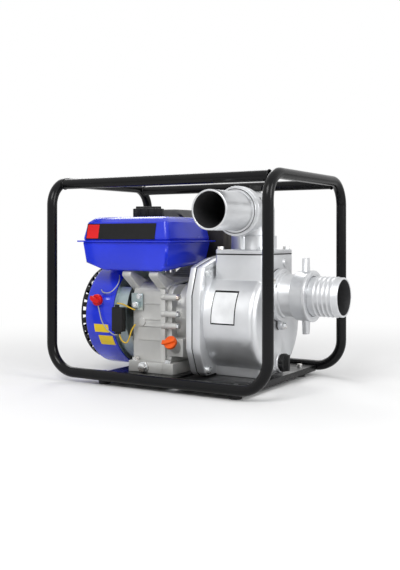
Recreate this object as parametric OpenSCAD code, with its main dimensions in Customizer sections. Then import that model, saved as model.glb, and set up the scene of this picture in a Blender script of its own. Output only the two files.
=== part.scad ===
// Petrol engine water pump in a tubular roll cage.
// X runs along the crankshaft towards the suction port, Y away from the discharge port, Z up.
// The origin is under the middle of the whole machine, on the floor.

/* [Frame] */
// Length of the cage between post centres
frame_l = 500; // [470:1:620]
// Width of the cage between post centres
frame_w = 346; // [340:1:430]
// Height of the upper cross tubes' centres above the floor
frame_top_z = 411.5; // [405:0.5:500]
// Outer diameter of the cage tube
tube_d = 21; // [18:0.5:26]
// Wall thickness of the cage tube
tube_wall = 1.8; // [1.2:0.1:3]
// Centreline radius of the bends at the foot of each post
foot_bend_r = 58; // [40:1:80]
// Centreline radius of the bends at the top of each post
top_bend_r = 50; // [36:1:70]
// Height of the rubber feet
foot_h = 9; // [6:0.5:16]
// Diameter of the rubber feet
foot_d = 26; // [20:1:36]
// Thickness of the base plates
plate_t = 3; // [2:0.5:5]
// Depth of the base plates' turned-down edges
plate_lip = 12; // [6:0.5:12]

/* [Pump] */
// Height of the crankshaft and pump axis above the floor
axis_z = 130; // [128:0.5:150]
// Outer radius of the casing drum
drum_r = 105; // [96:0.5:106]
// Length of the casing drum behind its flange
drum_l = 111; // [100:1:130]
// Wall thickness of the casing
casing_wall = 6; // [4:0.5:9]
// Thickness of the casing flange
casing_flange_t = 17; // [12:1:20]
// Half width of the casing flange
flange_half_w = 118; // [112:1:124]
// Thickness of the adapter plate
adapter_t = 13; // [10:0.5:16]
// Thickness of the gaskets
gasket_t = 1.5; // [1:0.25:3]
// Height of the top box's joint face above the axis
box_top = 131; // [124:1:140]
// Half width of the top box
box_half_w = 66; // [60:1:72]
// Thickness of the elbow's base flange
lid_t = 8; // [6:0.5:12]
// Height of the discharge axis above the pump axis
discharge_rise = 216; // [208:1:224]
// Reach of the discharge mouth from the pump axis
discharge_reach = 178; // [160:1:182]
// Outer diameter of the hose nozzles
nozzle_d = 76; // [60:0.5:80]
// Wall thickness of the hose nozzles
nozzle_wall = 4; // [3:0.5:6]
// Height of the suction axis above the pump axis
suction_rise = 51; // [40:1:56]
// Reach of the suction mouth from the cage's middle
suction_reach = 324.5; // [310:0.5:380]
// Radius of the impeller
impeller_r = 62; // [50:1:66]

/* [Engine] */
// Bore of the cylinder
cylinder_bore = 68; // [60:0.5:70]
// Piston stroke
stroke = 54; // [44:1:56]
// Tilt of the cylinder above the horizontal
cylinder_tilt = 25; // [15:1:30]
// Radius of the fan cover
fan_cover_r = 110; // [100:1:112]
// Depth of the fan cover
fan_cover_l = 73; // [60:1:80]
// Radius of the recoil starter housing
recoil_r = 97; // [84:1:99]
// Depth of the recoil starter housing
recoil_l = 21; // [16:0.5:22]
// Length of the fuel tank
tank_l = 218; // [190:1:226]
// Depth of the fuel tank, from the near side to the far side
tank_w = 168; // [150:1:172]
// Height of the fuel tank
tank_h = 110; // [90:1:114]
// Diameter of the fuel cap
fuel_cap_d = 66; // [50:1:76]

/* [Fits] */
// Radial running clearance of shafts in their bearings
running = 0.05; // [0.02:0.01:0.1]
// Gap kept between pieces that move past each other
moving_gap = 0.8; // [0.4:0.1:1.5]
// Radial clearance of bolts in their holes
bolt_clear = 0.3; // [0.1:0.05:0.6]

/* [Hidden] */

$fn = 64;
eps = 0.01;          // overlap that keeps a cut clean
cut = 20;            // how far a cutting tool runs past a face

// ---- colours ----
black_paint = [0.05, 0.05, 0.055];
blue_paint = [0.10, 0.20, 0.70];
grey_cast = [0.62, 0.61, 0.59];
bright_cast = [0.80, 0.81, 0.82];
zinc = [0.72, 0.76, 0.77];
steel = [0.55, 0.55, 0.57];
black_plastic = [0.09, 0.09, 0.09];
red_plastic = [0.85, 0.08, 0.08];
orange_plastic = [0.95, 0.36, 0.08];
rubber_black = [0.04, 0.04, 0.04];

// ---- cage stations ----
tube_r = tube_d / 2;
post_y = frame_w / 2;
mid_x = -(suction_reach - frame_l / 2 - tube_r) / 2;
hoop_left_x = mid_x - frame_l / 2;
hoop_right_x = mid_x + frame_l / 2;
bottom_z = foot_h + tube_r;
bend_top_z = bottom_z + foot_bend_r;
rail_angle = 26;                 // where on the top bend the long rails are welded
rail_y = post_y - top_bend_r + top_bend_r * sin(rail_angle);
rail_z = frame_top_z - top_bend_r + top_bend_r * cos(rail_angle);
rail_gap = 0.2;                  // fit-up gap of the rails against the hoops
plate_top = foot_h + plate_lip;
plate_y = post_y - tube_r - 0.2; // half width of the base plates
foot_left_x = mid_x - 128;
foot_right_x = mid_x + 188;
foot_near_y = -(post_y - 20);
foot_far_y = 128;

// ---- pump stations ----
flange_x = mid_x + 44;
joint_x = flange_x + adapter_t;
casing_x = joint_x + gasket_t;
drum_x = casing_x + casing_flange_t;
drum_end_x = drum_x + drum_l;
drum_edge_r = 14;
box_x = drum_x + 4;
box_l = drum_end_x - box_x;
box_z = axis_z + box_top;
elbow_x = box_x + box_l / 2 - 1;
lid_z = box_z + gasket_t;
discharge_z = axis_z + discharge_rise;
suction_z = axis_z + suction_rise;
suction_flange_x = drum_end_x + gasket_t;
suction_flange_t = 11;
suction_mouth_x = mid_x + suction_reach;
nozzle_r = nozzle_d / 2;
nozzle_bore_r = nozzle_r - nozzle_wall;
flange_corner = [100, 106];
flange_bolt = [88, 95];
flange_peak = 128;
lid_bolt = [box_l / 2 - 9, box_half_w - 9];
bolt_r = 4;
suction_bolt_r = 60;
suction_bolt_angles = [30, 150, 270];

// ---- engine stations ----
cover_x = flange_x - 64;         // joint between crankcase and its side cover
cover_front_x = flange_x - 22;
case_x = cover_x - 82;           // flywheel side of the crankcase
case_wall = 6;
case_foot_t = 22;
case_near_y = -90;
case_far_y = 60;
cylinder_x = cover_x - 38;       // axis of the cylinder and crankpin
barrel_end = 120;                // crank centre to the top of the barrel
head_end = 150;
valve_cover_end = 170;
fan_x1 = case_x - 39;            // engine side of the fan cover
fan_x0 = fan_x1 - fan_cover_l;
recoil_x0 = fan_x0 - recoil_l;
shaft_r = 10;
journal_r = 12.5;
bearing_r = 26;
bearing_w = 14;
crank_gear_teeth = 22;
cam_gear_teeth = 44;
gear_module = 1.5;
cam_offset = gear_module * (crank_gear_teeth + cam_gear_teeth) / 2;
cam_angle = 150;
cam_y = cam_offset * cos(cam_angle);
cam_z = axis_z + cam_offset * sin(cam_angle);
gear_x = cover_x - 8;
gear_w = 10;
tank_bottom_z = 227;
fan_top_z = tank_bottom_z + 6;
tank_top_z = tank_bottom_z + tank_h;
tank_seam_z = tank_bottom_z + 60;
tank_near_y = -130;
tank_far_y = tank_near_y + tank_w;
tank_x1 = flange_x - 34;
tank_x0 = tank_x1 - tank_l;
tank_wall = 1.5;
fuel_cap_x = tank_x0 + 102;
fuel_cap_y = -30;
cleaner_x0 = tank_x0 + 24;
cleaner_x1 = cleaner_x0 + 122;
cleaner_y0 = tank_far_y + 6;
cleaner_y1 = cleaner_y0 + 98;
cleaner_top_z = 357;

// ---- general shapes ----
module x_cyl(r, x0, x1, y, z) translate([x0, y, z]) rotate([0, 90, 0]) cylinder(r = r, h = x1 - x0);

module y_cyl(r, y0, y1, x, z) translate([x, y1, z]) rotate([90, 0, 0]) cylinder(r = r, h = y1 - y0);

module z_cyl(r, z0, z1, x, y) translate([x, y, z0]) cylinder(r = r, h = z1 - z0);

module box(x0, x1, y0, y1, z0, z1) translate([x0, y0, z0]) cube([x1 - x0, y1 - y0, z1 - z0]);

module x_tube(r, wall, x0, x1, y, z) difference() {
    x_cyl(r, x0, x1, y, z);
    x_cyl(r - wall, x0 - cut, x1 + cut, y, z);
}

module y_tube(r, wall, y0, y1, x, z) difference() {
    y_cyl(r, y0, y1, x, z);
    y_cyl(r - wall, y0 - cut, y1 + cut, x, z);
}

// An outline in Y and Z, pushed along X from x0 to x1
module x_slab(x0, x1) translate([x0, 0, 0]) rotate([90, 0, 90]) linear_extrude(x1 - x0) children();

// An outline in X and Y with round corners
module round_rect(w, d, r) {
    square([w - 2 * r, d], center = true);
    square([w, d - 2 * r], center = true);
    for (sx = [-1, 1], sy = [-1, 1]) translate([sx * (w / 2 - r), sy * (d / 2 - r)]) circle(r);
}

// A profile of radius and station, spun about the X direction
module x_spin(x, y, z) translate([x, y, z]) rotate([0, 90, 0]) rotate_extrude($fn = 96) children();

function arc(cy, cz, r, a0, a1, n) =
    [for (i = [0:n]) [cy + r * cos(a0 + (a1 - a0) * i / n), cz + r * sin(a0 + (a1 - a0) * i / n)]];

// Bent tube: a quarter turn of the cage tube about the centre of its bend
module bend(r, a0) rotate([0, 0, a0]) rotate_extrude(angle = 90) translate([r, 0]) difference() {
    circle(tube_r);
    circle(tube_r - tube_wall);
}

// Hexagon bolt with its washer; it stands on z = 0 and its shank points down
module hex_bolt(r, shank) {
    translate([0, 0, 1.2]) cylinder(r = r * 1.85, h = r * 1.3, $fn = 6);
    cylinder(r = r * 2.1, h = 1.2 + eps);
    if (shank > 0) translate([0, 0, -shank]) cylinder(r = r, h = shank + eps);
}

module bolt_up(x, y, z, r, shank) translate([x, y, z]) hex_bolt(r, shank);

module bolt_right(x, y, z, r, shank) translate([x, y, z]) rotate([0, 90, 0]) hex_bolt(r, shank);

module bolt_near(x, y, z, r, shank) translate([x, y, z]) rotate([90, 0, 0]) hex_bolt(r, shank);

// ---- cage ----
module hoop(x) {
    for (side = [-1, 1]) {
        translate([x, side * post_y, bend_top_z]) difference() {
            cylinder(r = tube_r, h = frame_top_z - top_bend_r - bend_top_z);
            translate([0, 0, -cut]) cylinder(r = tube_r - tube_wall, h = frame_top_z);
        }
        translate([x, side * (post_y - top_bend_r), frame_top_z - top_bend_r])
            rotate([90, 0, 90]) bend(top_bend_r, side > 0 ? 0 : 90);
    }
    y_tube(tube_r, tube_wall, -(post_y - top_bend_r), post_y - top_bend_r, x, frame_top_z);
}

module end_hoop_left() color(black_paint) hoop(hoop_left_x);

module end_hoop_right() color(black_paint) hoop(hoop_right_x);

module bottom_rail(y) {
    x_tube(tube_r, tube_wall, hoop_left_x + foot_bend_r, hoop_right_x - foot_bend_r, y, bottom_z);
    translate([hoop_left_x + foot_bend_r, y, bend_top_z]) rotate([90, 0, 0]) bend(foot_bend_r, 180);
    translate([hoop_right_x - foot_bend_r, y, bend_top_z]) rotate([90, 0, 0]) bend(foot_bend_r, 270);
}

module bottom_rail_near() color(black_paint) bottom_rail(-post_y);

module bottom_rail_far() color(black_paint) bottom_rail(post_y);

module top_rail(y) {
    reach = tube_r + rail_gap;
    x_tube(tube_r, tube_wall, hoop_left_x + reach, hoop_right_x - reach, y, rail_z);
}

module top_rail_near() color(black_paint) top_rail(-rail_y);

module top_rail_far() color(black_paint) top_rail(rail_y);

// Sheet plate between the bottom rails, with turned-down edges at both ends
module base_plate(x0, x1) {
    box(x0, x1, -plate_y, plate_y, plate_top - plate_t, plate_top);
    for (x = [x0, x1 - plate_t])
        box(x, x + plate_t, -plate_y, plate_y, plate_top - plate_lip, plate_top - plate_t + eps);
}

engine_plate_x0 = foot_left_x - 12;
engine_plate_x1 = cover_front_x + 4;
pump_plate_x0 = flange_x - 4;
pump_plate_x1 = foot_right_x + 8;
engine_bolt_x = [cover_x - 70, cover_x + 10];
engine_bolt_y = [-99, 71];
pump_foot_x = [drum_x + 14, drum_end_x - 30];
pump_foot_y = 40;

module foot_places() for (x = [foot_left_x, foot_right_x - 14], y = [foot_near_y, foot_far_y])
    translate([x, y, 0]) children();

module engine_base_plate() color(black_paint) difference() {
    base_plate(engine_plate_x0, engine_plate_x1);
    foot_places() cylinder(r = 3 + bolt_clear, h = plate_top + cut);
    for (x = engine_bolt_x, y = engine_bolt_y) z_cyl(bolt_r + bolt_clear, 0, plate_top + cut, x, y);
}

module pump_base_plate() color(black_paint) difference() {
    base_plate(pump_plate_x0, pump_plate_x1);
    foot_places() cylinder(r = 3 + bolt_clear, h = plate_top + cut);
    for (x = pump_foot_x, s = [-1, 1])
        z_cyl(bolt_r + bolt_clear, 0, plate_top + cut, x, s * pump_foot_y);
}

module rubber_feet() color(rubber_black) foot_places() difference() {
    union() {
        cylinder(r1 = foot_d / 2 - 1.5, r2 = foot_d / 2, h = foot_h - 1, $fn = 48);
        translate([0, 0, foot_h - 1 - eps]) cylinder(r = 7, h = plate_top - plate_t - foot_h + 1 + eps);
    }
    translate([0, 0, 3]) cylinder(r = 3 + bolt_clear, h = plate_top);
}

module base_bolts() color(zinc) {
    for (x = engine_bolt_x, y = engine_bolt_y)
        bolt_up(x, y, plate_top + case_foot_t, bolt_r, case_foot_t + plate_t + 3);
    for (x = pump_foot_x, s = [-1, 1]) translate([x, s * pump_foot_y, plate_top - plate_t])
        rotate([180, 0, 0]) hex_bolt(bolt_r, plate_t + 11);
    foot_places() translate([0, 0, plate_top]) hex_bolt(3, plate_top - 4);
}

// ---- engine block ----
function case_outline(grow) = concat(
    [[-107 - grow, plate_top], [-107 - grow, plate_top + case_foot_t], [case_near_y - grow, plate_top + case_foot_t]],
    arc(case_near_y + 30, 172, 30 + grow, 180, 100, 6),
    arc(20, axis_z + 58, 22 + grow, 90, 40, 4),
    [[case_far_y + grow, axis_z + 44], [case_far_y + grow, plate_top + case_foot_t],
     [80 + grow, plate_top + case_foot_t], [80 + grow, plate_top]]);

module case_cavity(x0, x1) x_slab(x0, x1) polygon(concat(
    [[case_near_y + case_wall, plate_top + 9]],
    arc(case_near_y + 30, 172, 30 - case_wall, 180, 100, 6),
    arc(20, axis_z + 58, 22 - case_wall, 90, 40, 4),
    [[case_far_y - case_wall, axis_z + 40], [case_far_y - case_wall, plate_top + 9]]));

// Puts its children on the cylinder's axis: z runs outwards from the crank centre
module on_cylinder() translate([cylinder_x, 0, axis_z]) rotate([cylinder_tilt - 90, 0, 0]) children();

module fin(z, w, d, t) translate([0, 0, z]) linear_extrude(t) round_rect(w, d, 10);

module tank_arm(x, w, tip, root) x_slab(x - w / 2, x + w / 2) polygon(concat(
    arc(tip[0], tip[1], 7, 220, 40, 6), [[root[0] + 22, root[1] + 4], [root[0] + 12, root[1] - 22],
    [root[0] - 8, root[1] - 14]]));

arm_x = [case_x + 2, cover_x - 14];
arm_tip = [-111, tank_bottom_z - 7.2];
stud_z = [axis_z + 45, axis_z + 11, axis_z - 13];

module crankcase() color(grey_cast) difference() {
    union() {
        x_slab(case_x, cover_x) polygon(case_outline(0));
        for (x = arm_x) tank_arm(x, 21, arm_tip, [-66, 196]);
        on_cylinder() {
            cylinder(r = cylinder_bore / 2 + 8, h = barrel_end);
            for (i = [0:5]) fin(66 + i * 9.2, 104, 98, 2.6);
            translate([0, 0, 58]) linear_extrude(barrel_end - 58) round_rect(84, 80, 12);
        }
        x_cyl(bearing_r + 8, case_x - 6, case_x + 8, 0, axis_z);
        x_cyl(16, case_x - 2, case_x + 8, cam_y, cam_z);
        // rib and stud bosses along the side cover's joint
        box(cover_x - 12, cover_x, case_near_y - 5, case_near_y + 4, plate_top + case_foot_t, 190);
        for (z = stud_z) x_cyl(6.5, cover_x - 9, cover_x, case_near_y - 3, z);
        // drain plug boss and level lines cast in the wall
        y_cyl(11, -112, -100, case_x + 40, plate_top + 12);
        for (z = [84, 112, 126, 158]) box(case_x + 14, cover_x - 12, case_near_y - 1.2, case_near_y + 2, z, z + 2);
        y_cyl(9, case_near_y - 3, case_near_y + 2, case_x + 22, 122);
    }
    case_cavity(case_x + case_wall, cover_x + cut);
    box(cover_x, cover_x + 2 * cut, -150, 78, 0, axis_z + 78);
    // crank bearing seat, shaft hole and cam pivot
    x_cyl(bearing_r + 0.02, case_x - 6 - cut, case_x - 6 + bearing_w, 0, axis_z);
    x_cyl(journal_r + 4, case_x - cut, case_x + cut, 0, axis_z);
    x_cyl(6 + running, case_x + 1, case_x + cut, cam_y, cam_z);
    on_cylinder() translate([0, 0, 30]) cylinder(r = cylinder_bore / 2 + 0.02, h = barrel_end);
    for (x = engine_bolt_x, y = engine_bolt_y) z_cyl(bolt_r + bolt_clear, 0, plate_top + case_foot_t + cut, x, y);
}

module cover_plate_outline() polygon(concat(
    arc(case_near_y + 32, 168, 30, 180, 90, 6), [[0, axis_z + 68], [30, axis_z + 60], [48, axis_z + 30],
    [case_far_y, axis_z]], arc(40, 62, 20, 0, -90, 5), arc(case_near_y + 32, 72, 30, 270, 180, 6)));

oil_neck = [cover_x + 23, case_near_y + 4, 72];
oil_axis = [60, 0, 0];           // turn of the filler's axis away from straight up
oil_neck_l = 24;

module crankcase_cover() color(grey_cast) difference() {
    union() {
        x_slab(cover_x, cover_x + 12) cover_plate_outline();
        x_spin(cover_x, 0, axis_z)
            polygon([[0, 10], [76, 10], [72, 24], [62, 34], [62, flange_x - cover_x], [0, flange_x - cover_x]]);
        box(cover_x, cover_x + 26, -107, 78, plate_top, plate_top + case_foot_t);
        box(cover_x, cover_x + 12, case_near_y, case_far_y, plate_top + case_foot_t - 1, 70);
        for (z = stud_z) x_cyl(6.5, cover_x, cover_x + 28, case_near_y - 3, z);
        box(cover_x, cover_x + 40, case_near_y - 1, -50, 56, 92);
        translate(oil_neck) rotate(oil_axis) cylinder(r = 12, h = oil_neck_l);
        box(cover_x, cover_x + 8, case_near_y + 4, case_near_y + 20, 60, 160);
    }
    case_cavity(cover_x - cut, cover_x + 6);
    // bearing seat and shaft hole
    x_cyl(bearing_r + 0.02, cover_x + 18, cover_x + 18 + bearing_w, 0, axis_z);
    x_cyl(journal_r + 4, cover_x - cut, flange_x + cut, 0, axis_z);
    x_cyl(6 + running, cover_x - cut, cover_x + 9, cam_y, cam_z);
    for (a = [45, 135, 225, 315])
        x_cyl(bolt_r + bolt_clear, flange_x - 16, flange_x + cut, 50 * cos(a), axis_z + 50 * sin(a));
    translate(oil_neck) rotate(oil_axis) translate([0, 0, -8]) cylinder(r = 8, h = 60);
    x_spin(cover_x, 0, axis_z) polygon([[0, -1], [58, -1], [54, 18], [0, 18]]);
    x_cyl(38, cover_x + 38, flange_x + cut, 0, axis_z);
    for (x = engine_bolt_x, y = engine_bolt_y) z_cyl(bolt_r + bolt_clear, 0, plate_top + case_foot_t + cut, x, y);
}

module bearing(x) {
    x_tube(bearing_r, 5, x, x + bearing_w, 0, axis_z);
    difference() {
        x_cyl(bearing_r - 5 + eps, x + 2, x + bearing_w - 2, 0, axis_z);
        x_cyl(journal_r + 4, x - cut, x + bearing_w + cut, 0, axis_z);
    }
    difference() {
        x_cyl(journal_r + 4 + eps, x, x + bearing_w, 0, axis_z);
        x_cyl(journal_r + running, x - cut, x + bearing_w + cut, 0, axis_z);
    }
}

module main_bearings() color(steel) {
    bearing(case_x - 6);
    bearing(cover_x + 18);
}

module cylinder_head() color(grey_cast) on_cylinder() difference() {
    union() {
        translate([0, 0, barrel_end]) linear_extrude(head_end - barrel_end) round_rect(90, 78, 10);
        for (i = [0:2]) fin(barrel_end + 3 + i * 9, 106, 96, 2.6);
        // inlet port towards the flywheel and exhaust port towards the pump
        translate([-62, -12, barrel_end + 15]) rotate([0, 90, 0]) cylinder(r = 14, h = 30);
        translate([32, -12, barrel_end + 15]) rotate([0, 90, 0]) cylinder(r = 14, h = 30);
        translate(plug_at) rotate([plug_turn, 0, 0]) cylinder(r = 12, h = 8.8);
    }
    translate([0, 0, barrel_end - eps]) cylinder(r = cylinder_bore / 2 - 4, h = 8);
    translate([0, 0, barrel_end + 15]) translate([-62 - eps, -12, 0]) rotate([0, 90, 0]) cylinder(r = 9, h = 40);
    translate([0, 0, barrel_end + 15]) translate([22, -12, 0]) rotate([0, 90, 0]) cylinder(r = 9, h = 40 + eps);
    translate(plug_at) rotate([plug_turn, 0, 0]) translate([0, 0, -14]) cylinder(r = 7, h = 40);
}

module valve_cover() color(black_paint) on_cylinder() difference() {
    union() {
        translate([0, 0, head_end]) linear_extrude(3) round_rect(88, 72, 12);
        translate([0, 0, head_end + 3 - eps]) linear_extrude(valve_cover_end - head_end - 9)
            round_rect(68, 60, 14);
        translate([0, 0, valve_cover_end - 6 - 2 * eps]) linear_extrude(6) round_rect(60, 50, 12);
    }
    translate([0, 0, head_end - eps]) linear_extrude(valve_cover_end - head_end - 10) round_rect(62, 54, 12);
}

module piston() color(bright_cast) on_cylinder() translate([0, 0, barrel_end - 52]) difference() {
    cylinder(r = cylinder_bore / 2 - 0.1, h = 50);
    translate([0, 0, -eps]) cylinder(r = cylinder_bore / 2 - 6, h = 42);
    translate([-cylinder_bore, 0, 22]) rotate([0, 90, 0]) cylinder(r = 9, h = 2 * cylinder_bore);
    for (z = [40, 44]) translate([0, 0, z]) difference() {
        cylinder(r = cylinder_bore, h = 1.6);
        translate([0, 0, -1]) cylinder(r = cylinder_bore / 2 - 2.5, h = 4);
    }
}

// Sheet cover round the flywheel: flat under the tank, with a duct towards the cylinder
module fan_outline(grow) intersection() {
    fan_round(grow);
    translate([-300, 0]) square([600, fan_top_z + grow]);
}

module fan_round(grow) {
    translate([0, axis_z]) circle(fan_cover_r + grow, $fn = 96);
    polygon([[0, axis_z + fan_cover_r + grow], [60, axis_z + 100 + grow], [84 + grow, axis_z + 84],
             [90 + grow, axis_z + 40], [60, axis_z - 60]]);
}

module fan_cover() color(blue_paint) difference() {
    union() {
        x_slab(fan_x0, fan_x1) fan_outline(0);
        y_cyl(9, -fan_cover_r, -fan_cover_r + 20, switch_at[0], switch_at[1]);
    }
    x_slab(fan_x0 + 1.6, fan_x1 + cut) fan_outline(-1.6);
    x_cyl(recoil_r - 14, fan_x0 - cut, fan_x0 + cut, 0, axis_z);
}

post_r = 8;                      // fixed post that carries the recoil pulley

// Pressed recoil housing with its ring of cooling slots
module recoil_housing() color(black_paint) {
    recoil_shell();
    x_cyl(post_r, recoil_x0 + 1, recoil_x0 + 18, 0, axis_z);
}

module recoil_shell() difference() {
    x_spin(recoil_x0, 0, axis_z) difference() {
        polygon([[0, 0], [44, 0], [50, 4], [recoil_r - 10, 4], [recoil_r, 12], [recoil_r, recoil_l], [0, recoil_l]]);
        polygon([[-1, 1.6], [43, 1.6], [49, 5.6], [recoil_r - 11, 5.6], [recoil_r - 1.6, 13],
                 [recoil_r - 1.6, recoil_l + 1], [-1, recoil_l + 1]]);
    }
    for (i = [0:35]) translate([0, 0, axis_z]) rotate([i * 10, 0, 0])
        translate([recoil_x0 + 12.5, recoil_r - 5, 0]) cube([7, 20, 7]);
    for (i = [0:17]) translate([recoil_x0 + 2.5, 0, axis_z]) rotate([i * 20, 0, 0])
        translate([0, 68, 0]) cube([12, 26, 7], center = true);
    x_cyl(rope_r + moving_gap, recoil_x0 - cut, recoil_x0 + cut, grip_y, grip_z);
}

// Curved zinc sheet that closes the fan cover against the crankcase
module cooling_baffle() color(zinc) difference() {
    union() {
        x_slab(fan_x1 + 0.5, fan_x1 + 2) difference() {
            fan_outline(-2);
            translate([-200, -200]) square([200 + case_near_y + 24, 200 + plate_top + 12]);
        }
        baffle_skirt(fan_x1 + 2 - eps, case_x - 10, 160);
        baffle_skirt(case_x - 10 - eps, case_x - 0.2, 60);
    }
    x_cyl(bearing_r + 16, fan_x1 - cut, case_x, 0, axis_z);
    on_cylinder() translate([-60, -52, 40]) cube([120, 104, 120]);
}

module baffle_skirt(x0, x1, h) x_slab(x0, x1) intersection() {
    difference() {
        translate([0, axis_z]) circle(fan_cover_r - 8, $fn = 96);
        translate([0, axis_z]) circle(fan_cover_r - 9.6, $fn = 96);
    }
    translate([-200, plate_top + 10]) square([170, h]);
}

unit_x = fan_x1 + 5;
unit_y = -fan_cover_r + 4;
unit_z = axis_z - 4;

module oil_alert_unit() color(black_plastic) {
    box(unit_x, unit_x + 26, unit_y - 14, unit_y, unit_z - 25, unit_z + 25);
    box(unit_x + 6, unit_x + 18, unit_y - 10, unit_y - 4, unit_z - 30, unit_z - 25 + eps);
    box(unit_x + 4, unit_x + 14, unit_y - 9, unit_y - 5, unit_z + 25 - eps, unit_z + 30);
    y_cyl(3, unit_y - eps, unit_y + 3.8, unit_x + 12, unit_z);
}

module wire_clamp() color(zinc) difference() {
    union() {
        box(case_x - 2, case_x + 26, case_near_y - 4, case_near_y - 2.2, 145, 180);
        box(case_x - 2, case_x, case_near_y - 4, case_near_y + 12, 145, 180);
        box(case_x + 4, case_x + 20, case_near_y - 10, case_near_y - 4 + eps, 151, 163);
    }
    y_cyl(2, case_near_y - cut, case_near_y + cut, case_x + 18, 174);
}

// ---- swept leads ----
function spline(p, q, r, s, t) = 0.5 * (2 * q + (r - p) * t + (2 * p - 5 * q + 4 * r - s) * t * t
    + (3 * q - p - 3 * r + s) * t * t * t);

function route(pts, steps) = let (n = len(pts) - 1) concat(
    [for (i = [0:n - 1], k = [0:steps - 1])
        spline(pts[max(i - 1, 0)], pts[i], pts[i + 1], pts[min(i + 2, n)], k / steps)], [pts[n]]);

function unit(v) = v / norm(v);

function ring(p, dir, up, r, sides) = let (u = unit(cross(up, dir)), v = cross(dir, u))
    [for (k = [0:sides - 1]) p + r * (u * cos(360 * k / sides) + v * sin(360 * k / sides))];

module lead(pts, d, up, sides = 8) {
    path = route(pts, 5);
    n = len(path);
    rings = [for (i = [0:n - 1])
        ring(path[i], unit(path[min(i + 1, n - 1)] - path[max(i - 1, 0)]), up, d / 2, sides)];
    side_faces = [for (i = [0:n - 2], k = [0:sides - 1], h = [0, 1])
        let (a = i * sides + k, b = i * sides + (k + 1) % sides)
        h == 0 ? [a, a + sides, b] : [b, a + sides, b + sides]];
    polyhedron([for (q = rings) each q], concat(side_faces,
        [[for (k = [0:sides - 1]) k]], [[for (k = [sides - 1:-1:0]) (n - 1) * sides + k]]));
}

// Routes of the engine's leads, picked by hand
switch_lead = [[-207, -115, 152], [-203, -115, 138], [-198, -115, 120], [-187, -115, 107],
    [-175, -115, 98], [-162, -114, 92], [-157, -113, 95.4]];
upper_lead = [[-212, -97.5, 184], [-205, -104, 180], [-192, -107, 178], [-178, -107, 181],
    [-168, -102, 193], [-171, -88, 205], [-183, -72, 215]];
clamp_lead = [[-159, -113, 159], [-150, -112, 159], [-140, -109, 155], [-130, -104, 149], [-124, -98, 146]];
sensor_lead = [[-153, -113, 96], [-151, -113, 88], [-146, -111, 80], [-137, -109, 77], [-132, -106, 90],
    [-130, -102, 106], [-124, -97, 116]];

module engine_wires() {
    color([0.75, 0.75, 0.78]) {
        lead(switch_lead, 2.4, [0, 1, 0]);
        lead(upper_lead, 2.4, [0.3, 1, 0]);
    }
    color([0.75, 0.62, 0.15]) {
        lead(clamp_lead, 3, [0, 0.2, 1]);
        lead(sensor_lead, 3, [0, 1, 0.1]);
    }
}

module engine_bolts() color(zinc) {
    for (z = stud_z) bolt_right(cover_x + 28, case_near_y - 3, z, 3, 0);
    bolt_near(case_x + 40, -112, plate_top + 12, 5, 0);
    bolt_near(case_x + 18, case_near_y - 4, 174, 3, 0);
    bolt_near(case_x + 12, case_near_y - 10, 157, 3, 0);
    for (s = [-1, 1]) on_cylinder() translate([s * 39.5, 0, head_end + 3]) hex_bolt(2, 0);
    for (a = [45, 135, 225, 315])
        bolt_right(joint_x, 50 * cos(a), axis_z + 50 * sin(a), bolt_r, adapter_t + 12);
    for (a = [20, 140, 260]) translate([fan_x0, (recoil_r + 6) * cos(a), axis_z + (recoil_r + 6) * sin(a)])
        rotate([0, -90, 0]) hex_bolt(2.5, 0);
}

// ---- fuel tank ----
module tank_slice(z, inset) box(tank_x0 + inset, tank_x1 - inset, tank_near_y + inset, tank_far_y - inset,
    z, z + 0.5);

module tank_lower_solid(g) hull() {
    tank_slice(tank_seam_z - 0.5, g + 1);
    tank_slice(tank_bottom_z + 17 + g, g + 11);
    box(tank_x0 + 46 + g, tank_x1 - 24 - g, tank_near_y + 12 + g, tank_near_y + 32 - g,
        tank_bottom_z + g, tank_bottom_z + g + 0.5);
}

module tank_upper_solid(g) hull() {
    tank_slice(tank_seam_z, g);
    tank_slice(tank_top_z - 18 - g, g + 9);
    tank_slice(tank_top_z - 0.5 - g, g + 24);
}

module tank_flange(z, t) translate([(tank_x0 + tank_x1) / 2, (tank_near_y + tank_far_y) / 2, z])
    linear_extrude(t) difference() {
        round_rect(tank_l + 16, tank_w + 8, 8);
        square([tank_l - 3, tank_w - 3], center = true);
    }

module fuel_tank_lower() color(blue_paint) union() {
    difference() {
        tank_lower_solid(0);
        tank_lower_solid(tank_wall);
        translate([0, 0, tank_seam_z - 1.5]) box(tank_x0 + 3, tank_x1 - 3, tank_near_y + 3, tank_far_y - 3, -1, 5);
    }
    tank_flange(tank_seam_z - 2, 1.5);
}

module fuel_tank_upper() color(blue_paint) union() {
    difference() {
        union() {
            tank_upper_solid(0);
            z_cyl(24, tank_top_z - 6, tank_top_z + 7, fuel_cap_x, fuel_cap_y);
        }
        tank_upper_solid(tank_wall);
        box(tank_x0 + 3, tank_x1 - 3, tank_near_y + 3, tank_far_y - 3, tank_seam_z - 2, tank_seam_z + 3);
        z_cyl(20, tank_top_z - 40, tank_top_z + cut, fuel_cap_x, fuel_cap_y);
    }
    tank_flange(tank_seam_z, 1.5);
}

module fuel_cap() color(black_plastic) {
    difference() {
        z_cyl(fuel_cap_d / 2, tank_top_z + moving_gap, tank_top_z + 19, fuel_cap_x, fuel_cap_y);
        z_cyl(24 + moving_gap, tank_top_z - cut, tank_top_z + 7 + moving_gap, fuel_cap_x, fuel_cap_y);
        for (a = [0:30:330]) translate([fuel_cap_x, fuel_cap_y, tank_top_z]) rotate(a)
            translate([fuel_cap_d / 2 + 1, 0, 0]) cylinder(r = 3, h = 40, $fn = 24);
    }
    translate([fuel_cap_x, fuel_cap_y, tank_top_z + 19 - eps]) rotate(30)
        linear_extrude(5) round_rect(fuel_cap_d - 12, 11, 5);
}

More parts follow.
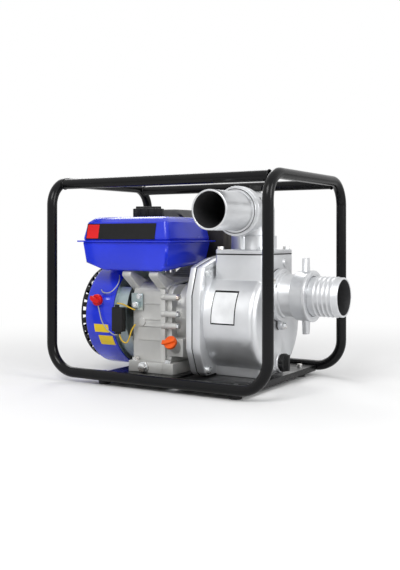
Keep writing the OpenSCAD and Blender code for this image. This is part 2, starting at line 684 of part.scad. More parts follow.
// ---- intake ----
carb_x0 = cylinder_x - 62;
port_y = on_y(-12, barrel_end + 15);
port_z = on_z(-12, barrel_end + 15);

// Y and Z of a point at side offset d and distance h along the tilted cylinder
function on_y(d, h) = h * cos(cylinder_tilt) + d * sin(cylinder_tilt);
function on_z(d, h) = axis_z + h * sin(cylinder_tilt) - d * cos(cylinder_tilt);

throttle_x = carb_x0 - 18;
choke_x = carb_x0 - 34;
throttle_z = port_z + 22;
choke_z = port_z + 28;
valve_y = port_y + 28;

module carburettor() color(grey_cast) difference() {
    union() {
        box(carb_x0 - 8, carb_x0, port_y - 22, port_y + 22, port_z - 16, port_z + 16);
        x_cyl(16, carb_x0 - 42, carb_x0 - 8 + eps, port_y, port_z);
        z_cyl(14, port_z - 46, port_z - 18, carb_x0 - 25, port_y + 9);
        z_cyl(11, port_z - 20, port_z, carb_x0 - 25, port_y + 9);
        z_cyl(6, port_z + 10, throttle_z, throttle_x, port_y);
        z_cyl(5, port_z + 10, choke_z, choke_x, port_y);
        y_cyl(6, port_y + 10, valve_y, carb_x0 - 25, port_z - 26);
    }
    x_cyl(9, carb_x0 - 60, carb_x0 + cut, port_y, port_z);
}

// Flat lever on a round hub, pointing along +Y from its pivot
module flat_lever(reach, hub, t) {
    cylinder(r = hub, h = t);
    translate([-3.5, 0, 0]) cube([7, reach - 3.5, t]);
    translate([0, reach - 3.5, 0]) cylinder(r = 3.5, h = t);
}

module throttle_lever() color(zinc)
    translate([throttle_x, port_y, throttle_z + 0.3]) flat_lever(40, 7, 2.5);

module choke_lever() color(black_plastic)
    translate([choke_x, port_y, choke_z + 0.3]) flat_lever(32, 5.5, 2.5);

module fuel_valve_lever() color(black_plastic)
    translate([carb_x0 - 25, valve_y + 0.3, port_z - 26]) rotate([-90, 0, 0]) rotate(90) flat_lever(24, 7, 4);

duct_x = carb_x0 - 58;
cleaner_base_z = 262;

module air_cleaner_base() color(black_plastic) difference() {
    union() {
        box(cleaner_x0 + 2, cleaner_x1 - 2, cleaner_y0 + 2, cleaner_y1 - 2, cleaner_base_z, cleaner_base_z + 10);
        z_cyl(14, port_z, cleaner_base_z + eps, duct_x, port_y);
        translate([duct_x, port_y, port_z]) sphere(r = 14);
        x_cyl(14, duct_x, carb_x0 - 42, port_y, port_z);
        z_cyl(6, cleaner_base_z + 9, cleaner_top_z - 14, (cleaner_x0 + cleaner_x1) / 2, (cleaner_y0 + cleaner_y1) / 2);
    }
    z_cyl(10, port_z, cleaner_base_z + cut, duct_x, port_y);
    x_cyl(10, duct_x, carb_x0, port_y, port_z);
    translate([duct_x, port_y, port_z]) sphere(r = 10);
}

module air_filter_element() color([0.25, 0.25, 0.26])
    translate([(cleaner_x0 + cleaner_x1) / 2, (cleaner_y0 + cleaner_y1) / 2, cleaner_base_z + 10]) difference() {
        linear_extrude(50) round_rect(96, 74, 14);
        translate([0, 0, -1]) linear_extrude(52) round_rect(66, 44, 10);
    }

module cleaner_shell(g) hull() {
    box(cleaner_x0 + g, cleaner_x1 - g, cleaner_y0 + g, cleaner_y1 - g, cleaner_base_z + 10, cleaner_base_z + 40);
    box(cleaner_x0 + 6 + g, cleaner_x1 - 26 - g, cleaner_y0 + 6 + g, cleaner_y1 - 12 - g,
        cleaner_top_z - 1 - g, cleaner_top_z - g);
    box(cleaner_x0 + 3 + g, cleaner_x1 - 4 - g, cleaner_y0 + 3 + g, cleaner_y1 - 4 - g,
        cleaner_top_z - 19 - g, cleaner_top_z - 18 - g);
}

module air_cleaner_cover() color(black_plastic) difference() {
    cleaner_shell(0);
    cleaner_shell(2.2);
    box(cleaner_x0 + 2.2, cleaner_x1 - 2.2, cleaner_y0 + 2.2, cleaner_y1 - 2.2,
        cleaner_base_z, cleaner_base_z + 12);
}

// ---- exhaust ----
muffler_x0 = tank_x1 - 42;
muffler_x1 = tank_x1 + 30;
muffler_y0 = 62;
muffler_y1 = 154;
muffler_z0 = 246;
muffler_z1 = 322;
pipe_x = cylinder_x + 78;

module muffler() color(steel) {
    translate([(muffler_x0 + muffler_x1) / 2, (muffler_y0 + muffler_y1) / 2, muffler_z0]) difference() {
        linear_extrude(muffler_z1 - muffler_z0) round_rect(muffler_x1 - muffler_x0, muffler_y1 - muffler_y0, 16);
        translate([0, 0, 1.5]) linear_extrude(muffler_z1 - muffler_z0 - 3)
            round_rect(muffler_x1 - muffler_x0 - 3, muffler_y1 - muffler_y0 - 3, 14.5);
        translate([20, 0, 30]) rotate([-90, 0, 0]) cylinder(r = 7, h = 100);
        translate([pipe_x - (muffler_x0 + muffler_x1) / 2, port_y - (muffler_y0 + muffler_y1) / 2, -cut])
            cylinder(r = 10, h = 2 * cut);
    }
    difference() {
        union() {
            x_cyl(12, cylinder_x + 62, pipe_x, port_y, port_z);
            box(cylinder_x + 62, cylinder_x + 68, port_y - 22, port_y + 22, port_z - 15, port_z + 15);
            z_cyl(12, port_z, muffler_z0 + eps, pipe_x, port_y);
            translate([pipe_x, port_y, port_z]) sphere(r = 12);
        }
        x_cyl(9.5, cylinder_x + 50, pipe_x, port_y, port_z);
        z_cyl(9.5, port_z, muffler_z0 + cut, pipe_x, port_y);
        translate([pipe_x, port_y, port_z]) sphere(r = 9.5);
    }
}

module muffler_guard() color(black_paint) difference() {
    union() {
        box(muffler_x0 + 6, muffler_x1 - 6, muffler_y1 + 4, muffler_y1 + 5.2, muffler_z0 + 4, muffler_z1 + 6);
        box(muffler_x0 + 6, muffler_x1 - 6, muffler_y0 + 10, muffler_y1 + 5, muffler_z1 + 4.8, muffler_z1 + 6);
        for (x = [muffler_x0 + 18, muffler_x1 - 18])
            z_cyl(4, muffler_z1, muffler_z1 + 5, x, (muffler_y0 + muffler_y1) / 2);
    }
    for (i = [0:4], k = [0:2]) translate([muffler_x0 + 11 + i * 11, muffler_y1, muffler_z0 + 12 + k * 21])
        cube([6, 12, 16]);
    for (i = [0:4], k = [0:2]) translate([muffler_x0 + 11 + i * 11, muffler_y0 + 18 + k * 25, muffler_z1 + 2])
        cube([6, 18, 12]);
}

plug_turn = -85;
plug_at = [0, 40, barrel_end + 14];

module spark_plug() color(bright_cast) on_cylinder() translate(plug_at) rotate([plug_turn, 0, 0]) {
    translate([0, 0, -10]) cylinder(r = 6.8, h = 20);
    translate([0, 0, 9]) cylinder(r = 11, h = 10, $fn = 6);
    translate([0, 0, 19 - eps]) cylinder(r = 6, h = 14);
}

plug_lead = [[-90, 164, 101], [-96, 165, 94], [-108, 158, 88], [-126, 142, 92], [-146, 118, 112],
    [-158, 100, 134], [-164, 95, 150], [-169.2, 94, 154]];

module ignition_lead() color(rubber_black) {
    on_cylinder() translate(plug_at) rotate([plug_turn, 0, 0]) translate([0, 0, 19.3]) difference() {
        cylinder(r = 9.5, h = 34);
        translate([0, 0, -1]) cylinder(r = 6.3, h = 15);
    }
    lead(plug_lead, 6, [0, 0, 1]);
}

// ---- pump ----
flange_outline = concat(
    [for (p = [[0, flange_peak], [46, flange_peak - 6], [flange_corner[0] - 8, flange_corner[1] + 3],
               flange_corner, [flange_half_w, 52], [flange_half_w, -52],
               [flange_corner[0], -flange_corner[1] + 8], [flange_corner[0] - 10, -flange_corner[1]]]) p],
    [for (p = [[-flange_corner[0] + 10, -flange_corner[1]], [-flange_corner[0], -flange_corner[1] + 8],
               [-flange_half_w, -52], [-flange_half_w, 52], [-flange_corner[0], flange_corner[1]],
               [-flange_corner[0] + 8, flange_corner[1] + 3], [-46, flange_peak - 6]]) p]);

module flange_plate(x0, x1) translate([0, 0, axis_z]) x_slab(x0, x1) polygon(flange_outline);

module at_flange_bolts() for (sy = [-1, 1], sz = [-1, 1])
    translate([0, sy * flange_bolt[0], axis_z + sz * flange_bolt[1]]) children();

module pump_adapter() color(bright_cast) difference() {
    union() {
        flange_plate(flange_x, joint_x);
        x_cyl(30, joint_x - eps, joint_x + 6, 0, axis_z);
    }
    x_cyl(20, flange_x - cut, joint_x + cut, 0, axis_z);
    at_flange_bolts() rotate([0, 90, 0]) cylinder(r = bolt_r + bolt_clear, h = 4 * cut, center = true);
    for (a = [45, 135, 225, 315])
        x_cyl(bolt_r + bolt_clear, flange_x - cut, joint_x + cut, 50 * cos(a), axis_z + 50 * sin(a));
}

module drum_profile(r, l, edge) {
    square([r - edge, l]);
    square([r, l - edge]);
    translate([r - edge, l - edge]) circle(edge);
}

module casing_hollow() {
    x_spin(casing_x - cut, 0, axis_z) drum_profile(drum_r - casing_wall, cut + casing_flange_t + drum_l - 8, 10);
    translate([box_x + box_l / 2, 0, axis_z + 60]) linear_extrude(box_top)
        round_rect(box_l - 2 * casing_wall, 2 * box_half_w - 2 * casing_wall, 8);
}

module pump_casing() color(bright_cast) {
    casing_shell();
    valve_hinge();
}

module casing_shell() difference() {
    union() {
        flange_plate(casing_x, drum_x);
        x_spin(casing_x, 0, axis_z) drum_profile(drum_r, casing_flange_t + drum_l, drum_edge_r);
        translate([box_x + box_l / 2, 0, axis_z]) linear_extrude(box_top) round_rect(box_l, 2 * box_half_w, 5);
        x_cyl(46, drum_end_x - 20, drum_end_x, 0, suction_z);
        box(pump_foot_x[0] - 14, pump_foot_x[1] + 14, -54, 54, plate_top, plate_top + 40);
        for (a = suction_bolt_angles)
            x_cyl(9, drum_end_x - 16, drum_end_x, suction_bolt_r * cos(a), suction_z + suction_bolt_r * sin(a));
        x_cyl(9, box_x + box_l - eps, box_x + box_l + 3, 29, axis_z + 114);
        x_cyl(20, drum_end_x - 10, drum_end_x + 2, 10, 46);
    }
    casing_hollow();
    x_cyl(30, drum_end_x - cut, drum_end_x + cut, 0, suction_z);
    at_flange_bolts() rotate([0, 90, 0]) cylinder(r = bolt_r + bolt_clear, h = 6 * cut, center = true);
    for (sx = [-1, 1], sy = [-1, 1])
        z_cyl(bolt_r + bolt_clear, box_z - 13, box_z + cut, elbow_x + sx * lid_bolt[0], sy * lid_bolt[1]);
    for (a = suction_bolt_angles) x_cyl(3 + bolt_clear, drum_end_x - 9, drum_end_x + cut,
        suction_bolt_r * cos(a), suction_z + suction_bolt_r * sin(a));
    x_cyl(10.3, drum_end_x - cut, drum_end_x + cut, 10, 46);
    for (x = pump_foot_x, s = [-1, 1]) z_cyl(bolt_r + bolt_clear, 0, plate_top + 12, x, s * pump_foot_y);
}

// Seat, ears and hinge pin of the check valve, cast inside the end wall
valve_seat_r = 33.7;             // clears the flap's hinge boss

module valve_hinge() {
    x_tube(valve_seat_r, valve_seat_r - 30, flap_x + 2.3, drum_end_x - 7, 0, suction_z);
    for (s = [-1, 1]) box(flap_x - 3, drum_end_x - 3, s * 15.5 - 2.5, s * 15.5 + 2.5,
        flap_pin_z - 4, flap_pin_z + 5);
    y_cyl(2, -16, 16, flap_x, flap_pin_z);
}

module inner_volute() color(grey_cast) difference() {
    x_spin(joint_x, 0, axis_z) difference() {
        square([volute_r, volute_l]);
        translate([-1, -1]) square([volute_r - 7, volute_l - 4]);
        translate([-1, 0]) square([31, volute_l + 1]);
    }
    box(joint_x + 10, joint_x + volute_l - 5, -20, 62, axis_z + 40, axis_z + volute_r + 5);
}

volute_r = 80;
volute_l = 42;
impeller_x = joint_x + 12;

module impeller() color(grey_cast) difference() {
    union() {
        x_cyl(impeller_r, impeller_x, impeller_x + 4, 0, axis_z);
        x_cyl(15, impeller_x, impeller_x + 20, 0, axis_z);
        for (i = [0:4]) translate([0, 0, axis_z]) rotate([i * 72, 0, 0]) x_slab(impeller_x + 3.9, impeller_x + 22)
            polygon(concat(arc(38, -26, 40, 40, 142, 8), arc(38, -26, 36, 142, 40, 8)));
    }
    x_cyl(shaft_r, impeller_x - cut, impeller_x + 2 * cut, 0, axis_z);
    x_cyl(14, impeller_x + 20, impeller_x + 2 * cut, 0, axis_z);
    difference() {
        x_cyl(impeller_r + 40, impeller_x - 1, impeller_x + 2 * cut, 0, axis_z);
        x_cyl(impeller_r, impeller_x - 2, impeller_x + 3 * cut, 0, axis_z);
    }
}

module pump_gaskets() color(rubber_black) {
    difference() {
        flange_plate(joint_x, casing_x);
        x_cyl(drum_r - casing_wall, joint_x - cut, casing_x + cut, 0, axis_z);
        at_flange_bolts() rotate([0, 90, 0]) cylinder(r = bolt_r + bolt_clear, h = 4 * cut, center = true);
    }
    difference() {
        translate([box_x + box_l / 2, 0, box_z]) linear_extrude(gasket_t) round_rect(box_l, 2 * box_half_w, 5);
        z_cyl(nozzle_bore_r, box_z - cut, box_z + cut, elbow_x, 0);
        for (sx = [-1, 1], sy = [-1, 1])
            z_cyl(bolt_r + bolt_clear, box_z - cut, box_z + cut, elbow_x + sx * lid_bolt[0], sy * lid_bolt[1]);
    }
    difference() {
        suction_plate(drum_end_x, suction_flange_x);
        x_cyl(30, drum_end_x - cut, suction_flange_x + cut, 0, suction_z);
        suction_holes(drum_end_x);
    }
}

collar_y = -60;                  // joint between the elbow and its nozzle
collar_t = 14;
elbow_r = 42;

module discharge_elbow() color(bright_cast) difference() {
    union() {
        translate([box_x + box_l / 2, 0, lid_z]) linear_extrude(lid_t) round_rect(box_l, 2 * box_half_w, 5);
        z_cyl(elbow_r + 4, lid_z, lid_z + 36, elbow_x, 0);
        z_cyl(elbow_r, lid_z, discharge_z, elbow_x, 0);
        translate([elbow_x, 0, discharge_z]) sphere(r = elbow_r, $fn = 96);
        y_cyl(elbow_r, collar_y, 0, elbow_x, discharge_z);
        y_cyl(elbow_r + 6, collar_y, collar_y + 8, elbow_x, discharge_z);
        // stiffening ribs and the plug's boss
        box(elbow_x - 2.5, elbow_x + 2.5, -58, -30, lid_z, discharge_z - 20);
        box(elbow_x + 20, elbow_x + elbow_r - 1, collar_y + 6, 0, discharge_z - 6, discharge_z + 24);
        z_cyl(12, discharge_z + 20, discharge_z + elbow_r + 1, elbow_x, 6);
    }
    z_cyl(nozzle_bore_r, lid_z - cut, discharge_z, elbow_x, 0);
    translate([elbow_x, 0, discharge_z]) sphere(r = nozzle_bore_r, $fn = 96);
    y_cyl(nozzle_bore_r, collar_y - cut, 0, elbow_x, discharge_z);
    z_cyl(7 + bolt_clear, discharge_z, discharge_z + 3 * cut, elbow_x, 6);
    for (sx = [-1, 1], sy = [-1, 1])
        z_cyl(bolt_r + bolt_clear, lid_z - cut, lid_z + cut, elbow_x + sx * lid_bolt[0], sy * lid_bolt[1]);
}

module discharge_nozzle() color(bright_cast) difference() {
    union() {
        y_cyl(nozzle_r, -discharge_reach, collar_y, elbow_x, discharge_z);
        y_cyl(elbow_r + 7, collar_y - collar_t, collar_y, elbow_x, discharge_z);
        y_cyl(nozzle_r + 5, collar_y - collar_t - 5, collar_y - collar_t + eps, elbow_x, discharge_z);
    }
    y_cyl(nozzle_bore_r, -discharge_reach - cut, collar_y + cut, elbow_x, discharge_z);
}

nut_x0 = suction_flange_x + 43;
nut_l = 32;
nut_r = 48;
nut_wall = 5.5;
neck_r = nut_r - nut_wall - moving_gap;
nozzle_collar_x = nut_x0 + 7;

module suction_holes(x) for (a = suction_bolt_angles)
    x_cyl(3 + bolt_clear, x - cut, x + cut, suction_bolt_r * cos(a), suction_z + suction_bolt_r * sin(a));

// Round plate with three bolt ears
module suction_plate(x0, x1) translate([0, 0, suction_z]) x_slab(x0, x1) {
    circle(52);
    for (a = suction_bolt_angles) rotate(a) {
        translate([suction_bolt_r, 0]) circle(9);
        translate([46, -8]) square([suction_bolt_r - 46, 16]);
    }
}

module suction_flange() color(bright_cast) difference() {
    union() {
        suction_plate(suction_flange_x, suction_flange_x + suction_flange_t);
        x_cyl(neck_r + 3, suction_flange_x + 1, suction_flange_x + 18, 0, suction_z);
        x_cyl(neck_r, suction_flange_x + 1, nozzle_collar_x, 0, suction_z);
    }
    x_cyl(30, suction_flange_x - cut, suction_flange_x + 5, 0, suction_z);
    x_cyl(nozzle_bore_r, suction_flange_x + 4, nozzle_collar_x + cut, 0, suction_z);
    suction_holes(suction_flange_x);
}

ridge_x = [for (i = [0:4]) nut_x0 + nut_l + 8 + i * 9];

module suction_nozzle() color(bright_cast) difference() {
    union() {
        x_cyl(nozzle_r, nozzle_collar_x, suction_mouth_x, 0, suction_z);
        x_cyl(neck_r, nozzle_collar_x, nut_x0 + nut_l - 8 - moving_gap, 0, suction_z);
        for (x = ridge_x) x_spin(x, 0, suction_z) polygon([[20, 0], [nozzle_r, 0], [nozzle_r + 1, 5], [20, 5]]);
    }
    x_cyl(nozzle_bore_r, nozzle_collar_x - cut, suction_mouth_x + cut, 0, suction_z);
}

module suction_nut() color(bright_cast) difference() {
    union() {
        x_cyl(nut_r, nut_x0, nut_x0 + nut_l, 0, suction_z);
        x_cyl(nut_r + 2, nut_x0 + nut_l - 7, nut_x0 + nut_l, 0, suction_z);
        for (s = [-1, 1]) translate([0, 0, suction_z]) rotate([s * 90, 0, 0])
            x_slab(nut_x0 + 10, nut_x0 + 20) polygon([[nut_r - 4, -10], [nut_r + 26, -7], [nut_r + 26, 7], [nut_r - 4, 10]]);
    }
    x_cyl(nut_r - nut_wall, nut_x0 - cut, nut_x0 + nut_l - 8, 0, suction_z);
    x_cyl(nozzle_r + moving_gap, nut_x0, nut_x0 + nut_l + cut, 0, suction_z);
}

module mechanical_seal() color(steel) {
    x_tube(20, 20 - shaft_r - running, flange_x, joint_x, 0, axis_z);
    x_tube(16, 16 - shaft_r - running, joint_x - eps, joint_x + 8, 0, axis_z);
}

module pump_bolts() color(zinc) {
    at_flange_bolts() translate([drum_x, 0, 0]) rotate([0, 90, 0]) hex_bolt(bolt_r, drum_x - flange_x);
    for (sx = [-1, 1], sy = [-1, 1])
        bolt_up(elbow_x + sx * lid_bolt[0], sy * lid_bolt[1], lid_z + lid_t, bolt_r, lid_t + gasket_t + 11);
    for (a = suction_bolt_angles) bolt_right(suction_flange_x + suction_flange_t, suction_bolt_r * cos(a),
        suction_z + suction_bolt_r * sin(a), 3, suction_flange_t + gasket_t + 7);
    bolt_up(elbow_x, 6, discharge_z + elbow_r + 1, 7, 12);
}

knob_y = 10;
knob_z = 46;

module drain_knob() color(black_plastic) {
    x_cyl(9.8, drum_end_x - 6, drum_end_x + 3, knob_y, knob_z);
    difference() {
        x_cyl(18, drum_end_x + 3 - eps, drum_end_x + 12, knob_y, knob_z);
        for (a = [0:45:315]) translate([0, knob_y, knob_z]) rotate([a, 0, 0]) x_cyl(3.5, drum_end_x, drum_end_x + 2 * cut, 20, 0);
    }
    box(drum_end_x + 12 - eps, drum_end_x + 19, knob_y - 4, knob_y + 4, knob_z - 16, knob_z + 16);
}

flap_x = drum_end_x - 13;
flap_pin_z = suction_z + 38;

module check_valve_flap() color(rubber_black) difference() {
    union() {
        x_cyl(34, flap_x - 2, flap_x + 2, 0, suction_z);
        box(flap_x - 2, flap_x + 2, -12, 12, suction_z, flap_pin_z);
        y_cyl(4, -12, 12, flap_x, flap_pin_z);
    }
    y_cyl(2 + running, -cut, cut, flap_x, flap_pin_z);
}

// ---- moving parts on the crankshaft ----
function gear_points(n, turn) = let (p = 360 / n, r = gear_module * n / 2)
    [for (i = [0:n - 1], k = [[-0.3, -1.25], [-0.14, 0.9], [0.14, 0.9], [0.3, -1.25]])
        let (a = turn + (i + k[0]) * p, q = r + k[1] * gear_module) [q * cos(a), q * sin(a)]];

web_r = 40;
web_x = [cylinder_x - 26, cylinder_x + 12];
web_t = 14;

module crankshaft() color(steel) {
    x_cyl(shaft_r, recoil_x0 + 33, case_x - 12, 0, axis_z);
    x_cyl(journal_r, case_x - 12, web_x[0] + 1, 0, axis_z);
    for (x = web_x) difference() {
        x_cyl(web_r, x, x + web_t, 0, axis_z);
        translate([x - 1, 0, axis_z]) rotate([cylinder_tilt, 0, 0]) for (s = [-1, 1])
            translate([0, 12, s * 34 - 12]) cube([web_t + 2, 40, 24]);
    }
    translate([0, 0, axis_z]) rotate([cylinder_tilt, 0, 0])
        x_cyl(15, web_x[0] + web_t - 1, web_x[1] + 1, stroke / 2, 0);
    x_cyl(journal_r, web_x[1] + web_t - 1, cover_x + 36, 0, axis_z);
    translate([0, 0, axis_z]) x_slab(gear_x, gear_x + gear_w)
        polygon(gear_points(crank_gear_teeth, cam_angle));
    x_cyl(shaft_r, cover_x + 36, impeller_x + 20, 0, axis_z);
    x_cyl(12, impeller_x + 20, impeller_x + 23, 0, axis_z);
}

module camshaft() color(steel) {
    x_cyl(6, case_x + 1.5, case_x + 7, cam_y, cam_z);
    x_cyl(7, case_x + 7, gear_x, cam_y, cam_z);
    for (k = [0, 1]) translate([0, cam_y, cam_z]) rotate([k * 110, 0, 0]) {
        x_cyl(10, case_x + 8 + k * 5, case_x + 12 + k * 5, 0, 0);
        x_cyl(6, case_x + 8 + k * 5, case_x + 12 + k * 5, 0, 7);
    }
    translate([0, cam_y, cam_z]) x_slab(gear_x, gear_x + gear_w)
        polygon(gear_points(cam_gear_teeth, cam_angle + 180 + 180 / cam_gear_teeth));
    x_cyl(6, gear_x + gear_w, cover_x + 8, cam_y, cam_z);
}

flywheel_x = fan_x1 - 27;

module flywheel() color(grey_cast) difference() {
    x_spin(flywheel_x, 0, axis_z)
        polygon([[shaft_r, 0], [84, 0], [84, 22], [72, 22], [72, 8], [22, 8], [22, 22], [shaft_r, 22]]);
    translate([flywheel_x + 4, -90, axis_z - 10]) cube([14, 8, 20]);
}

module cooling_fan() color(black_plastic) {
    x_spin(flywheel_x - 4, 0, axis_z) polygon([[40, 0], [90, 0], [90, 4], [40, 4]]);
    for (i = [0:15]) translate([0, 0, axis_z]) rotate([i * 22.5, 0, 0]) x_slab(flywheel_x - 26, flywheel_x - 4 + eps)
        polygon(concat(arc(60, -30, 44, 50, 100, 5), arc(60, -30, 41.5, 100, 50, 5)));
}

module starter_cup() color(zinc) difference() {
    x_spin(flywheel_x - 40, 0, axis_z)
        polygon([[shaft_r, 38], [36, 38], [36, 0], [34, 0], [34, 36], [shaft_r, 36]]);
    for (a = [0:60:300]) translate([0, 0, axis_z]) rotate([a, 0, 0])
        translate([flywheel_x - 36, 30, -6]) cube([14, 10, 12]);
}

pulley_r = 40;
pulley_x = recoil_x0 + 4;

module recoil_pulley() color(black_plastic) difference() {
    x_spin(pulley_x, 0, axis_z) polygon([[post_r + running, 0], [pulley_r, 0], [pulley_r, 3], [pulley_r - 5, 5],
        [pulley_r - 5, 7], [pulley_r, 9], [pulley_r, 12], [post_r + running, 12]]);
    for (a = [0:60:300]) translate([0, 0, axis_z]) rotate([a, 0, 0])
        x_cyl(5, pulley_x - cut, pulley_x + cut, 24, 0);
}

grip_y = 70;
grip_z = axis_z + 40;
rope_r = 2;

module starter_grip() color(black_plastic) {
    x_cyl(rope_r, recoil_x0 - 2, recoil_x0 + 8, grip_y, grip_z);
    difference() {
        translate([recoil_x0 - 1.5, grip_y, grip_z]) rotate([0, -90, 0]) rotate(90) linear_extrude(19)
            round_rect(76, 20, 9);
        for (s = [-1, 1], k = [0:2]) translate([recoil_x0 - 1.5 - 4 - k * 5, grip_y + s * 10, grip_z - 30])
            cube([2, 3, 60]);
    }
}

switch_at = [fan_x0 + 36, axis_z + 34];

module engine_switch() color(red_plastic) translate([switch_at[0], -fan_cover_r - 0.5, switch_at[1]])
    rotate([90, 0, 0]) {
        cylinder(r = 12, h = 7);
        translate([0, 0, 7 - eps]) rotate(70) linear_extrude(7) round_rect(9, 23, 4);
        translate([-16, 1, 1]) cube([10, 7, 8]);
    }

module oil_cap() color(orange_plastic) translate(oil_neck) rotate(oil_axis)
    translate([0, 0, oil_neck_l + 0.4]) {
        cylinder(r = 13.5, h = 7);
        translate([0, 0, 7 - eps]) rotate(20) linear_extrude(6) round_rect(26, 8, 3.5);
        translate([-20, -5, 0]) cube([12, 9, 6]);
        translate([0, 0, -20]) cylinder(r = 7.4, h = 20 + eps);
    }

end_hoop_left();
end_hoop_right();
bottom_rail_near();
bottom_rail_far();
top_rail_near();
top_rail_far();
engine_base_plate();
pump_base_plate();
rubber_feet();
base_bolts();
crankcase();
crankcase_cover();
main_bearings();
cylinder_head();
valve_cover();
piston();
fan_cover();
recoil_housing();
cooling_baffle();
oil_alert_unit();
wire_clamp();
engine_wires();
engine_bolts();
fuel_tank_lower();
fuel_tank_upper();
carburettor();
air_cleaner_base();
air_filter_element();
air_cleaner_cover();
muffler();
muffler_guard();
spark_plug();
ignition_lead();
pump_adapter();
pump_casing();
inner_volute();
pump_gaskets();
discharge_elbow();
discharge_nozzle();
suction_flange();
suction_nozzle();
mechanical_seal();
pump_bolts();
crankshaft();
flywheel();
cooling_fan();
starter_cup();
impeller();
camshaft();
recoil_pulley();
starter_grip();
engine_switch();
throttle_lever();
choke_lever();
fuel_valve_lever();
fuel_cap();
oil_cap();
suction_nut();
drain_knob();
check_valve_flap();
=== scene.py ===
"""Looks for a petrol engine water pump in a roll cage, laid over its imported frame."""
import math

import bmesh
import bpy
from bpy.props import FloatProperty, FloatVectorProperty, IntProperty, PointerProperty
from mathutils import Matrix, Vector


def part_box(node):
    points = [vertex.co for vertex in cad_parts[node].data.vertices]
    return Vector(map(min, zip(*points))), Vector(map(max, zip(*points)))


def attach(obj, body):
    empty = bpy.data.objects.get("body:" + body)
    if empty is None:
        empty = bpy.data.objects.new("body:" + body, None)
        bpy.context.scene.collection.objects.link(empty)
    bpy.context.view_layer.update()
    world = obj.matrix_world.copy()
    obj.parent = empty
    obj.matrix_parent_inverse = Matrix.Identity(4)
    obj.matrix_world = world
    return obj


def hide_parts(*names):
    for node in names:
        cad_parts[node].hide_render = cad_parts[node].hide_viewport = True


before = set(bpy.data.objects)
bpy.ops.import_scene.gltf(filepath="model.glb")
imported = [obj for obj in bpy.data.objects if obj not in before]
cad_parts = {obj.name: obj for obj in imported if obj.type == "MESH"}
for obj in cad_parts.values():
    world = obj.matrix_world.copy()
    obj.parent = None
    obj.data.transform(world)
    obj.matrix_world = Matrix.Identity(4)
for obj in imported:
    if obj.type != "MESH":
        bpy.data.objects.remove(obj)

bl_info = {
    "name": "Engine Pump Looks",
    "version": (1, 0, 0),
    "blender": (4, 5, 0),
    "location": "View3D > Sidebar > Engine Pump",
    "description": "Finishes and detail pieces for a petrol engine water pump in a roll cage",
    "category": "Object",
}

AXIS_Z = 0.130          # height of the crankshaft
BORE_R = 0.0355         # inside radius of both ports
DRUM_FILM_R = 0.1053    # first sheet on the pump's drum
COVER_FILM_R = 0.1103   # labels on the fan cover
BOLT_EDGE = 0.0003
MACHINE = "machine"


def colour_property(name, description, default):
    return FloatVectorProperty(name=name, description=description, subtype="COLOR", size=3, min=0, max=1,
                               default=default)


def length_property(name, description, default):
    return FloatProperty(name=name, description=description, default=default, unit="LENGTH", precision=4)


class StageSettings(bpy.types.PropertyGroup):
    floor_colour: colour_property("Floor", "Colour of the floor", (0.86, 0.86, 0.86))
    light_power: FloatProperty(name="Light", description="Power of the main lamp", default=30, unit="POWER")
    lens: FloatProperty(name="Lens", description="Focal length of the camera", default=51.8, unit="CAMERA")


class CageSettings(bpy.types.PropertyGroup):
    paint: colour_property("Paint", "Colour of the cage's paint", (0.0045, 0.0045, 0.005))
    bead: length_property("Weld bead", "Thickness of the weld beads", 0.0016)


class TankSettings(bpy.types.PropertyGroup):
    paint: colour_property("Paint", "Colour of the tank and fan cover", (0.014, 0.034, 0.62))
    corner: length_property("Corner", "Radius of the tank's pressed corners", 0.009)
    seam: length_property("Seam", "Thickness of the seam flange", 0.003)


class CastingSettings(bpy.types.PropertyGroup):
    pump_metal: colour_property("Pump castings", "Colour of the pump's castings", (0.62, 0.63, 0.645))
    engine_metal: colour_property("Engine castings", "Colour of the engine's castings", (0.50, 0.50, 0.485))
    edge: length_property("Cast edge", "Radius of the castings' edges", 0.0012)
    edge_steps: IntProperty(name="Edge steps", description="Segments of each rounded edge", default=2, min=1)


class TrimSettings(bpy.types.PropertyGroup):
    plastic: colour_property("Plastic", "Colour of the black plastic", (0.008, 0.008, 0.0085))
    red: colour_property("Switch", "Colour of the stop switch", (0.62, 0.008, 0.008))
    orange: colour_property("Oil cap", "Colour of the oil cap", (0.80, 0.11, 0.012))
    zinc: colour_property("Zinc", "Colour of the zinc plating", (0.42, 0.50, 0.51))
    moulded_edge: length_property("Moulded edge", "Radius of moulded edges", 0.0008)


# ---- finishes ----
def new_finish(name):
    """A material with its shader and the object's coordinates."""
    finish = bpy.data.materials.new(name)
    finish.use_nodes = True
    tree = finish.node_tree
    shader = tree.nodes["Principled BSDF"]
    place = tree.nodes.new("ShaderNodeTexCoord").outputs["Object"]
    return finish, tree, shader, place


def noise(tree, place, scale, detail=3.0, stretch=None):
    """Noise on the object's coordinates; stretch draws it out along an axis."""
    if stretch:
        mapping = tree.nodes.new("ShaderNodeMapping")
        mapping.inputs["Scale"].default_value = stretch
        tree.links.new(place, mapping.inputs["Vector"])
        place = mapping.outputs["Vector"]
    node = tree.nodes.new("ShaderNodeTexNoise")
    node.inputs["Scale"].default_value = scale
    node.inputs["Detail"].default_value = detail
    tree.links.new(place, node.inputs["Vector"])
    return node.outputs["Fac"]


def shades(tree, factor, stops):
    """A colour ramp through (position, colour) stops."""
    ramp = tree.nodes.new("ShaderNodeValToRGB")
    ramp.color_ramp.elements[0].position, ramp.color_ramp.elements[1].position = stops[0][0], stops[-1][0]
    for position, _ in stops[1:-1]:
        ramp.color_ramp.elements.new(position)
    for element, (_, colour) in zip(ramp.color_ramp.elements, stops):
        element.color = (*colour, 1)
    tree.links.new(factor, ramp.inputs["Fac"])
    return ramp.outputs["Color"]


